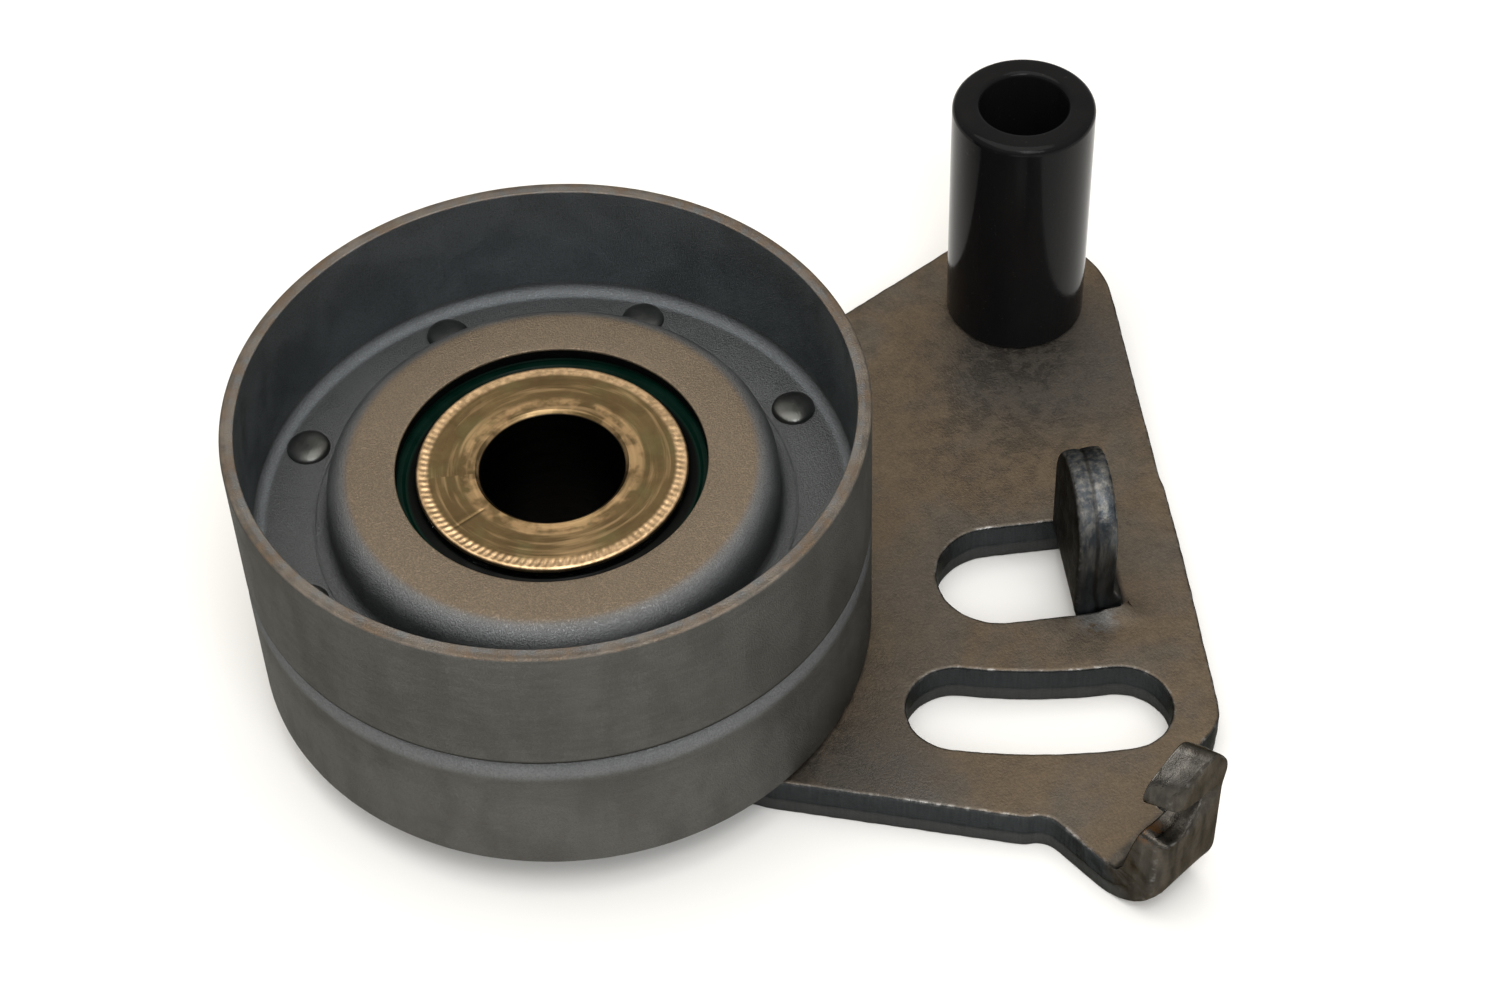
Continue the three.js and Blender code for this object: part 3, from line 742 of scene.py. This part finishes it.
def flange_relief(radius, angle, z):
    """Small half-moon dents along part of the flange's edge and one radial scratch on its face."""
    if z < FLANGE_TOP - 0.3 or radius > FLANGE_RADIUS - 0.2:
        return 0.0
    dents = 0.0
    from_ring = (radius - (FLANGE_RADIUS - 0.75)) / 0.5
    if abs(from_ring) < 1:
        spread = 0.5 + 0.5 * math.cos(angle - math.radians(250))
        beat = 0.5 + 0.5 * math.cos(110 * angle + 2.5 * radius)
        dents = -0.15 * (1 - from_ring ** 2) * beat * spread * (0.6 + 0.4 * ripple(angle, 5.0, 2.0))
    across = radius * (angle - math.radians(214))
    scratch = -0.05 * math.exp(-(across / 0.14) ** 2) if 8.2 < radius < 11.4 else 0.0
    return dents + scratch


def build_hub():
    """Flanged sleeve through bearing, spacer and bracket, flared into the bracket's underside."""
    tube = BEARING_BORE - FIT
    under = MID + BEARING_HALF + FIT
    corners = [
        (9.95, 0.02, 0.03), (tube, 1.14, 0.1), (tube, under, 0.02), (FLANGE_RADIUS, under, 0.1),
        (FLANGE_RADIUS, FLANGE_TOP, 0.3),
        (FLANGE_RADIUS - 0.45, FLANGE_TOP, 0), (FLANGE_RADIUS - 1.35, FLANGE_TOP - 0.02, 0.2),
        (HUB_BORE + 1.0, FLANGE_TOP - 0.08, 0.2), (HUB_BORE + 0.42, FLANGE_TOP - 0.06, 0.05),
        (HUB_BORE, FLANGE_TOP - 0.45, 0.1), (HUB_BORE, 0.02, 0.3),
    ]
    fine = split_long(rounded(corners, steps=4), 0.2)
    # only the flange's face, which has the relief, keeps the fine rows
    profile = [p for i, p in enumerate(fine) if p[1] > FLANGE_TOP - 0.5 or i % 7 == 0]
    turned_piece("flanged_sleeve", profile, HUB, 880, "bracket", "golden_metal", "hub_sleeve", flange_relief)


def build_spacer():
    low, high = (end[2] for end in box_mm("hub_spacer"))
    bore = BEARING_BORE + FIT
    corners = [(SPACER_RADIUS, low, 0.35), (SPACER_RADIUS, high, 0.35), (bore, high, 0.3), (bore, low, 0.3)]
    profile = split_long(rounded(corners), 1.5)
    turned_piece("spacer_ring", profile, HUB, 144, "bracket", "turned_steel", "hub_spacer")


def build_pivot():
    """Black sleeve: a shoulder stands on the bracket and the spigot below it is the journal."""
    spigot, bore, shoulder = 5.9, 4.5, PLATE + 0.05
    corners = [
        (spigot, 0.0, 0.3), (spigot, shoulder, 0.1), (SLEEVE_RADIUS, shoulder, 0.3),
        (SLEEVE_RADIUS, SLEEVE_TOP, 0.85), (bore, SLEEVE_TOP, 0.55), (bore, 0.0, 0.4),
    ]
    profile = split_long(rounded(corners, steps=9), 2.5)
    turned_piece("black_sleeve", profile, PIVOT, 192, "pivot", "black_oxide", "pivot_sleeve")


# ---------------- bracket
#
# The bracket is made as it is stamped: a flat blank with its holes, whose sheared walls follow one
# profile, and then two tongues of it are bent up. Blank coordinates are from the hub's axis.

SLEEVE_AT = PIVOT - HUB
HUB_LOBE = 14.0
PIVOT_LOBE = 10.6
PIVOT_HOLE = 6.0
FRONT_CORNER = np.array((17.4, -22.9))
FRONT_ANGLE = math.radians(-18.1)
RIGHT_KNEE = (61.7, -1.0)
RIGHT_JOG = 0.12  # small steps in the right edge, up to the pivot's lobe
RIGHT_CORNER = (57.1, -20.0)
RIGHT_CORNER_RADIUS = 4.0
SLOT_RADIUS = 55.85
SLOT_HALF = 4.95
SLOT_FROM, SLOT_TO = math.radians(-105.8), math.radians(-89.6)

SHEAR_STEP = 0.45  # where the front edge was cut in two strokes

HOOK_ANGLE = math.radians(38)
ALONG = np.array((math.cos(HOOK_ANGLE), math.sin(HOOK_ANGLE)))
OUTWARD = np.array((math.sin(HOOK_ANGLE), -math.cos(HOOK_ANGLE)))

# Both tongues: face is where the outer face stands, inside and outside are the bend's radii, flat is
# the length of blank that the bend takes up, tip the thickness at the top, taper the height over
# which it thins, top the height above the plate and roll the radius along the edge of the outer face.
# The hook's left and right are along the bend, and root is where the plate's own edge begins. The
# tab's cut is as wide as gap and ends at foot, short of the bend.
HOOK = dict(face=63.7, inside=0.8, outside=6.5, flat=10.2, tip=2.85, taper=8.0, top=17.2, roll=1.7,
            left=14.4, right=22.6, root=56.3)
TAB = dict(face=49.5, inside=1.0, outside=5.6, flat=4.55, tip=3.9, taper=2.5, top=14.4, roll=0.6,
           half=6.0, gap=0.15, centre=-0.75, foot=2.6, swell=0.14)
HOOK_BEND = HOOK["face"] - HOOK["outside"]
HOOK_LEAN = (1.7, 0.95)  # shift of the prong's outer face along the bend, and down
TAB_BEND = TAB["face"] + TAB["outside"]
TAB_TIP = TAB_BEND - TAB["flat"] - (TAB["top"] + PLATE - TAB["half"] - TAB["outside"])  # of its round end
TAB_REACH = TAB["half"] + TAB["gap"] / 2
TAB_END = TAB_TIP - TAB["half"] - 1.0  # just past the round end


def arc_points(centre, radius, start, end):
    count = max(3, int(abs(end - start) * radius / 0.3))
    angles = np.linspace(start, end, count)
    return [(centre[0] + radius * math.cos(a), centre[1] + radius * math.sin(a)) for a in angles]


def curve_points(start, control, end):
    shares = np.linspace(0, 1, 12)
    a, b, c = (np.array(p) for p in (start, control, end))
    return [(1 - t) ** 2 * a + 2 * t * (1 - t) * b + t * t * c for t in shares]


def hook_tongue():
    """The tongue's outline in the blank, from its left root round the notch and the prong to its
    right root, as (along, height) pairs taken to the blank."""
    left, right, base = HOOK["left"], HOOK["right"], PLATE
    top = base + HOOK["top"]
    curves = [
        ((left, base + 6.8), (left + 0.1, base + 8.5), (left + 1.5, base + 7.5)),
        ((left + 1.5, base + 7.5), (left + 3.2, base + 6.1), (right - 1.8, base + 9.2)),
        ((right - 1.8, base + 9.2), (right - 1.3, base + 10.0), (right - 2.6, base + 10.5)),
        ((left + 0.6, base + 12.0), (left - 0.4, base + 12.5), (left - 0.2, base + 13.8)),
        ((left - 0.2, base + 13.8), (left + 0.1, base + 15.1), (left + 1.4, base + 15.5)),
        ((right - 4.2, top - 0.45), (right - 3.3, top), (right - 2.6, top - 0.85)),
        ((right - 2.6, top - 0.85), (right - 0.7, top - 3.2), (right, top - 7.4)),
    ]
    path = [(left, HOOK["outside"])]
    for start, control, end in curves:
        path += curve_points(start, control, end)
    path += [(right, HOOK["outside"])]
    rise = HOOK_BEND + HOOK["flat"] - HOOK["outside"]
    return [a * ALONG + (h + rise) * OUTWARD for a, h in path]


def blank_outline():
    """Counter-clockwise from the front corner."""
    front = np.array((math.cos(FRONT_ANGLE), math.sin(FRONT_ANGLE)))
    reach = (HOOK["left"] - FRONT_CORNER @ ALONG) / (front @ ALONG)
    tongue_left = FRONT_CORNER + reach * front
    to_sleeve = math.atan2(SLEEVE_AT[1], SLEEVE_AT[0])
    back = to_sleeve + math.acos((HUB_LOBE - PIVOT_LOBE) / math.hypot(*SLEEVE_AT))
    meet = math.atan2(FRONT_CORNER[1], FRONT_CORNER[0]) - math.acos(HUB_LOBE / math.hypot(*FRONT_CORNER))
    inward = np.array((-front[1], front[0])) * SHEAR_STEP
    step = tongue_left - 1.8 * front
    points = [FRONT_CORNER, step, step + 0.2 * front + inward, tongue_left + inward]
    points += [HOOK["left"] * ALONG + HOOK_BEND * OUTWARD]
    points += hook_tongue()
    points += [HOOK["right"] * ALONG + out * OUTWARD for out in (HOOK_BEND, HOOK["root"])]
    points += arc_points(RIGHT_CORNER, RIGHT_CORNER_RADIUS, HOOK_ANGLE - math.pi / 2, 0)
    points += [RIGHT_KNEE, (RIGHT_KNEE[0] + RIGHT_JOG, 8.8), (RIGHT_KNEE[0] - RIGHT_JOG, 9.3)]
    points += arc_points(SLEEVE_AT, PIVOT_LOBE, 0, back)
    points += arc_points((0, 0), HUB_LOBE, back, meet + TURN)
    return points


def slot_outline():
    """Clockwise, an arc about the pivot with round ends."""
    def end(angle):
        return SLEEVE_AT + SLOT_RADIUS * np.array((math.cos(angle), math.sin(angle)))
    outline = arc_points(SLEEVE_AT, SLOT_RADIUS + SLOT_HALF, SLOT_FROM, SLOT_TO)
    outline += arc_points(end(SLOT_TO), SLOT_HALF, SLOT_TO, SLOT_TO + math.pi)
    outline += arc_points(SLEEVE_AT, SLOT_RADIUS - SLOT_HALF, SLOT_TO, SLOT_FROM)
    outline += arc_points(end(SLOT_FROM), SLOT_HALF, SLOT_FROM + math.pi, SLOT_FROM + TURN)
    return outline[::-1]


def tab_cut_outline():
    """Clockwise, the narrow cut round the tab's tongue. It stops short of the bend, so that the sheet
    is drawn up at the tab's foot."""
    tip, end = TAB_TIP, TAB_BEND - TAB["foot"]
    inner, outer, y = TAB["half"], TAB["half"] + TAB["gap"], TAB["centre"]
    cut = [(end, y + outer)]
    cut += arc_points((tip, y), outer, math.pi / 2, 1.5 * math.pi)
    cut += [(end, y - outer), (end, y - inner)]
    cut += arc_points((tip, y), inner, 1.5 * math.pi, math.pi / 2)
    cut += [(end, y + inner)]
    return cut[::-1]


def circle_outline(centre, radius):
    return arc_points(centre, radius, 0, -TURN)[:-1]


def resampled(points, spacing, ease):
    """The closed outline at an even spacing, its corners eased by a few rounds of averaging."""
    loop = np.array(points)
    keep = np.linalg.norm(np.roll(loop, -1, axis=0) - loop, axis=1) > 1e-6
    loop = loop[keep]
    closed = np.vstack([loop, loop[:1]])
    lengths = np.concatenate([[0], np.cumsum(np.linalg.norm(np.diff(closed, axis=0), axis=1))])
    count = int(lengths[-1] / spacing)
    places = np.linspace(0, lengths[-1], count, endpoint=False)
    even = np.stack([np.interp(places, lengths, closed[:, k]) for k in (0, 1)], axis=1)
    for _ in range(ease):
        even = 0.5 * even + 0.25 * (np.roll(even, 1, axis=0) + np.roll(even, -1, axis=0))
    return even


def outward_normals(loop):
    """Unit normals that point away from the metal, averaged over a few neighbours."""
    tangent = np.roll(loop, -1, axis=0) - np.roll(loop, 1, axis=0)
    normal = np.stack([tangent[:, 1], -tangent[:, 0]], axis=1)
    for _ in range(4):
        normal /= np.linalg.norm(normal, axis=1)[:, None]
        normal = 0.5 * normal + 0.25 * (np.roll(normal, 1, axis=0) + np.roll(normal, -1, axis=0))
    return normal / np.linalg.norm(normal, axis=1)[:, None]


def wall_rows():
    """(inset, height, wall, burr) down a sheared wall: rolled edge, burnished band, torn band, burr."""
    t = PLATE
    return [
        (0.44, t, 0, 0), (0.34, t, 0, 0.1), (0.22, t - 0.015, 0.1, 0.6), (0.12, t - 0.06, 0.4, 1),
        (0.05, t - 0.13, 0.9, 0.8), (0.01, t - 0.24, 1, 0.2), (0, t - 0.45, 1, 0), (0, 0.72 * t, 1, 0),
        (0, 0.50 * t, 1, 0), (0.01, 0.44 * t, 1, 0), (0.05, 0.40 * t, 1, 0), (0.06, 0.28 * t, 1, 0),
        (0.08, 0.12 * t, 1, 0), (0.12, 0.18, 1, 0.2), (0.18, 0.07, 0.6, 0.7), (0.28, 0.015, 0.1, 0.4),
        (0.36, 0, 0, 0), (0.44, 0, 0, 0),
    ]


def inside_metal(points, loops):
    """True for points that are inside an odd number of the outlines."""
    inside = np.zeros(len(points), bool)
    for loop in loops:
        for (x0, y0), (x1, y1) in zip(loop, np.roll(loop, -1, axis=0)):
            if y0 == y1:
                continue
            crosses = (points[:, 1] > y0) != (points[:, 1] > y1)
            at = x0 + (points[:, 1] - y0) * (x1 - x0) / (y1 - y0)
            inside ^= crosses & (points[:, 0] < at)
    return inside


def edge_distance(points, loops):
    """How far each point is from the nearest outline, and which way that outline faces there."""
    edge, normals = np.vstack(loops), np.vstack([outward_normals(loop) for loop in loops])
    nearest, facing = np.full(len(points), np.inf), np.zeros((len(points), 2))
    for chunk, ways in zip(np.array_split(edge, 24), np.array_split(normals, 24)):
        gaps = np.linalg.norm(points[:, None] - chunk[None], axis=2)
        closest = gaps.argmin(axis=1)
        gap = gaps[np.arange(len(points)), closest]
        closer = gap < nearest
        nearest[closer] = gap[closer]
        facing[closer] = ways[closest[closer]]
    return nearest, facing


def mesh_points(x_values, y_values):
    x, y = np.meshgrid(x_values, y_values)
    return np.stack([x.ravel(), y.ravel()], axis=1)


def face_grid(loops):
    """Points inside the flat faces: an even grid, and finer rows along the two bends."""
    low, high = np.vstack(loops).min(axis=0), np.vstack(loops).max(axis=0)
    plain = mesh_points(np.arange(low[0], high[0], 1.3), np.arange(low[1], high[1], 1.3))
    beside_tab = abs(plain[:, 1] - TAB["centre"]) > TAB["half"] + 0.1
    clear_of_tab = (plain[:, 0] > TAB_BEND) | (plain[:, 0] < TAB_END) | beside_tab
    plain = plain[(plain @ OUTWARD < HOOK_BEND - 1) & clear_of_tab]
    rows = np.arange(HOOK_BEND - 0.6, HOOK_BEND + 30, 0.5)
    hook = mesh_points(np.arange(HOOK["left"], HOOK["right"], 0.5), rows) @ np.stack([ALONG, OUTWARD])
    tab = mesh_points(np.arange(TAB_BEND, TAB_END, -0.45), TAB["centre"] + np.arange(-5.4, 5.5, 0.9))
    points = np.vstack([plain, hook, tab])
    points = points[inside_metal(points, loops)]
    return points[edge_distance(points, loops)[0] > 0.32]


def bent(local, height, tongue, from_edge, roll):
    """Where points of a tongue go when it is bent up, from their distances past the bend line and
    heights in the sheet, as (distance, height) pairs. Its outer face rolls over towards its edge, with
    a radius that may differ from point to point."""
    outside, inside, flat = tongue["outside"], tongue["inside"], tongue["flat"]
    depth = height / PLATE
    turn = np.clip(local / flat, 0, 1)
    angle = turn * math.pi / 2
    outer = np.stack([outside * np.sin(angle), outside * (1 - np.cos(angle))], axis=1)
    run = outside - PLATE - inside
    inner_length = max(run, 0) + inside * math.pi / 2
    on_run = np.clip(turn * inner_length, 0, max(run, 0))
    inner_angle = np.clip((turn * inner_length - on_run) / inside, 0, math.pi / 2)
    inner = np.stack([on_run + min(run, 0) * turn + inside * np.sin(inner_angle),
                      PLATE + inside * (1 - np.cos(inner_angle))], axis=1)
    rise = np.clip(local - flat, 0, None)
    thin = np.clip((rise + run) / (tongue["taper"] - inside), 0, 1)
    outer[:, 1] += rise
    inner[:, 1] += rise + run * np.clip(rise / 3, 0, 1)
    inner[:, 0] += (PLATE - tongue["tip"]) * thin * (rise > 0)
    inset = np.clip(from_edge, 0, roll)
    over = roll - np.sqrt(roll ** 2 - (roll - inset) ** 2)
    outer -= (over * turn)[:, None] * np.stack([np.sin(angle), -np.cos(angle)], axis=1)
    return outer + (inner - outer) * depth[:, None]


def eased(value, start, end):
    share = np.clip((value - start) / (end - start), 0, 1)
    return share * share * (3 - 2 * share)


def bent_hook(points, from_edge, facing):
    """The spring hook. Its left edge is the roundest, and the end of its prong is cut askew."""
    roll = HOOK["roll"] * np.clip(-1.1 * (facing @ ALONG), 0.2, 1)
    out, up = bent(points[:, :2] @ OUTWARD - HOOK_BEND, points[:, 2], HOOK, from_edge, roll).T
    lean = (1 - points[:, 2] / PLATE) * eased(up, 14.0, 19.5)
    along = points[:, :2] @ ALONG + HOOK_LEAN[0] * lean
    plan = along[:, None] * ALONG + (HOOK_BEND + out)[:, None] * OUTWARD
    return np.column_stack([plan, up - HOOK_LEAN[1] * lean])


def bent_tab(points, from_edge, facing):
    """The index tab. Its edge swells in two bands, with the seam between them."""
    depth = points[:, 2] / PLATE
    band = np.where(depth > SEAM, (depth - SEAM) / (1 - SEAM), depth / SEAM)
    swell = TAB["swell"] * np.sin(math.pi * np.clip(band, 0, 1)) * (from_edge < 0.3)
    plan = points[:, :2] + facing * swell[:, None]
    out, up = bent(TAB_BEND - plan[:, 0], points[:, 2], TAB, from_edge, TAB["roll"]).T
    return np.column_stack([TAB_BEND - out, plan[:, 1], up])


def bend_up(points, loops):
    """Takes blank points (x, y, height in the sheet) to the finished bracket, whose sheet is also drawn
    up a little beside the tab's foot."""
    result = points.copy()
    from_edge, facing = edge_distance(points[:, :2], loops)
    x, across = points[:, 0], abs(points[:, 1] - TAB["centre"])
    hook = points[:, :2] @ OUTWARD > HOOK_BEND
    round_end = np.hypot(x - TAB_TIP, across) < TAB_REACH
    tab = (x < TAB_BEND) & (round_end | ((across < TAB_REACH) & (x > TAB_TIP)))
    result[hook] = bent_hook(points[hook], from_edge[hook], facing[hook])
    result[tab] = bent_tab(points[tab], from_edge[tab], facing[tab])
    drawn_up = np.exp(-((x - TAB_BEND + 1.5) / 1.5) ** 2 - ((across - TAB_REACH) / 0.9) ** 2)
    result[:, 2] += 0.75 * drawn_up * (~tab & (points[:, 2] > PLATE / 2))
    return result


def inside_outlines(triangles, outline_edges):
    """The triangles inside the outlines: crossing an outline goes from outside to inside and back."""
    outline = {frozenset(edge) for edge in outline_edges}
    sharing = {}
    for number, triangle in enumerate(triangles):
        for k in range(3):
            sharing.setdefault(frozenset((triangle[k - 1], triangle[k])), []).append(number)
    inside = {}
    for side, pair in sharing.items():
        if len(pair) == 1:
            inside[pair[0]] = side in outline
    waiting = list(inside)
    while waiting:
        number = waiting.pop()
        for k in range(3):
            side = frozenset((triangles[number][k - 1], triangles[number][k]))
            for other in sharing[side]:
                if other not in inside:
                    inside[other] = inside[number] != (side in outline)
                    waiting.append(other)
    return [triangle for number, triangle in enumerate(triangles) if inside[number]]


def sheared_walls(loops, points, cut, faces):
    """Adds the blank's walls, and (wall, burr) for each of their points. Gives the uppermost and the
    lowest row of each outline, as (number of its first point, places)."""
    top_rims, bottom_rims = [], []
    for loop in loops:
        normals = outward_normals(loop)
        count = len(loop)
        first = len(points)
        for inset, height, wall, burr in wall_rows():
            for (x, y), (nx, ny) in zip(loop, normals):
                jitter = 0.05 * noise.noise((x * 0.9, y * 0.9, height)) * min(1.0, wall + burr + 0.1)
                points.append((x - nx * (inset + jitter), y - ny * (inset + jitter), height))
                cut.append((wall, burr))
        last = len(points) - count
        for row in range(first, last, count):
            for i in range(count):
                n = (i + 1) % count
                faces.append((row + i, row + n, row + count + n, row + count + i))
        for rims, start in ((top_rims, first), (bottom_rims, last)):
            rims.append((start, np.array(points[start:start + count])[:, :2]))
    return top_rims, bottom_rims


def flat_face(rims, grid, height, points, cut, faces):
    """Adds a slightly dented face of the blank, between the rims of its walls."""
    flat, index, edges = [], [], []
    for start, rim in rims:
        first, count = len(flat), len(rim)
        flat += [Vector(p) for p in rim]
        index += range(start, start + count)
        edges += [(first + i, first + (i + 1) % count) for i in range(count)]
    for x, y in grid:
        flat.append(Vector((x, y)))
        index.append(len(points))
        dent = 0.05 * noise.noise((x * 0.11, y * 0.11, height + 7))
        dent += 0.012 * noise.noise((x * 0.4, y * 0.4, height))
        points.append((x, y, max(height, UNDERSIDE) + dent))
        cut.append((0, 0))
    _, _, triangles, source, _, _ = geometry.delaunay_2d_cdt(flat, edges, [], 0, 1e-6, True)
    triangles = [tuple(source[k][0] for k in triangle) for triangle in triangles]
    faces += [tuple(index[k] for k in triangle) for triangle in inside_outlines(triangles, edges)]


def build_bracket():
    outlines = [blank_outline(), slot_outline(), tab_cut_outline(),
                circle_outline(SLEEVE_AT, PIVOT_HOLE), circle_outline((0, 0), BEARING_BORE)]
    loops = [resampled(outline, 0.36, ease) for outline, ease in zip(outlines, (5, 2, 1, 0, 0))]
    points, cut, faces = [], [], []
    top_rims, bottom_rims = sheared_walls(loops, points, cut, faces)
    grid = face_grid([rim for _, rim in top_rims])
    flat_face(top_rims, grid, PLATE, points, cut, faces)
    flat_face(bottom_rims, grid, 0.0, points, cut, faces)
    blank = np.array(points)
    shape = bend_up(blank, loops)
    tongue = np.clip(np.linalg.norm(shape - blank, axis=1) / 2, 0, 1)
    sheet = blank[:, 2] / PLATE
    piece = make_object("bracket", shape + np.append(HUB, 0), faces, "bracket", "bare_steel", "bracket_plate")
    wall, burr = np.array(cut, float).T
    for name, values in (("wall", wall), ("burr", burr), ("sheet", sheet), ("tongue", tongue)):
        layer = piece.data.attributes.new(name, "FLOAT", "POINT")
        layer.data.foreach_set("value", values.astype(np.float32))


# ---------------- studio


def build_floor():
    mesh = bpy.data.meshes.new("floor")
    half = 8.0  # metres, so that its end stays out of low views
    corners = [(-half, -half, 0), (half, -half, 0), (half, half, 0), (-half, half, 0)]
    mesh.from_pydata(corners, [], [(0, 1, 2, 3)])
    mesh.materials.append(floor_paint())
    floor = bpy.data.objects.new("floor", mesh)
    bpy.context.scene.collection.objects.link(floor)


def build_world():
    """A pale room: warm above, cooler towards the horizon."""
    world = bpy.data.worlds.new("studio")
    bpy.context.scene.world = world
    world.use_nodes = True
    nodes, links = world.node_tree.nodes, world.node_tree.links
    split = nodes.new("ShaderNodeSeparateXYZ")
    links.new(nodes.new("ShaderNodeTexCoord").outputs["Generated"], split.inputs[0])
    ramp = nodes.new("ShaderNodeValToRGB")
    horizon, above = ramp.color_ramp.elements
    horizon.position, horizon.color = 0.05, (0.46, 0.50, 0.55, 1)
    above.position, above.color = 0.70, (0.98, 0.92, 0.83, 1)
    links.new(split.outputs["Z"], ramp.inputs[0])
    links.new(ramp.outputs["Color"], nodes["Background"].inputs["Color"])
    nodes["Background"].inputs["Strength"].default_value = 0.75


def build_lamp(name, place, size, power, colour):
    """A soft area lamp, placed in metres from the middle of the object and aimed at it."""
    lamp = bpy.data.lights.new(name, "AREA")
    lamp.shape = "RECTANGLE"
    lamp.size, lamp.size_y = size
    lamp.energy = power
    lamp.color = colour
    holder = bpy.data.objects.new(name, lamp)
    holder.location = place
    aim = Vector((0, 0, 0.015)) - Vector(place)
    holder.rotation_euler = aim.to_track_quat("-Z", "Y").to_euler()
    bpy.context.scene.collection.objects.link(holder)


def build_camera():
    """Above and in front of the pulley, turned a little towards the bracket."""
    lens = bpy.data.cameras.new("camera")
    lens.lens = 75.53
    lens.sensor_width = 36
    pitch, yaw, roll = math.radians(48.528), math.radians(5.299), math.radians(-2.296)
    forward = Vector((math.sin(yaw) * math.cos(pitch), math.cos(yaw) * math.cos(pitch), -math.sin(pitch)))
    level = Vector((math.cos(yaw), -math.sin(yaw), 0))
    up = level.cross(forward)
    right = math.cos(roll) * level + math.sin(roll) * up
    top = math.cos(roll) * up - math.sin(roll) * level
    turn = Matrix((right, top, -forward)).transposed().to_4x4()
    place = Vector((HUB[0], HUB[1] - 199.42, PULLEY_TOP + 210.21)) * MM
    camera = bpy.data.objects.new("camera", lens)
    camera.matrix_world = Matrix.Translation(place) @ turn
    bpy.context.scene.collection.objects.link(camera)
    bpy.context.scene.camera = camera


build_cups()
build_rivets()
build_rings()
build_seals()
build_balls()
build_cage("upper", 1)
build_cage("lower", -1)
build_hub()
build_spacer()
build_pivot()
build_bracket()
build_floor()
build_world()
build_lamp("overhead", (-0.06, -0.02, 0.60), (0.65, 0.65), 3.0, (1.0, 0.98, 0.95))
build_lamp("front", (0.10, -0.65, 0.60), (0.45, 0.30), 2.1, (0.96, 0.98, 1.0))
build_lamp("flash", (0.02, -0.17, 0.30), (0.08, 0.08), 0.18, (0.97, 0.98, 1.0))
build_camera()
bpy.context.scene.view_settings.view_transform = "Standard"
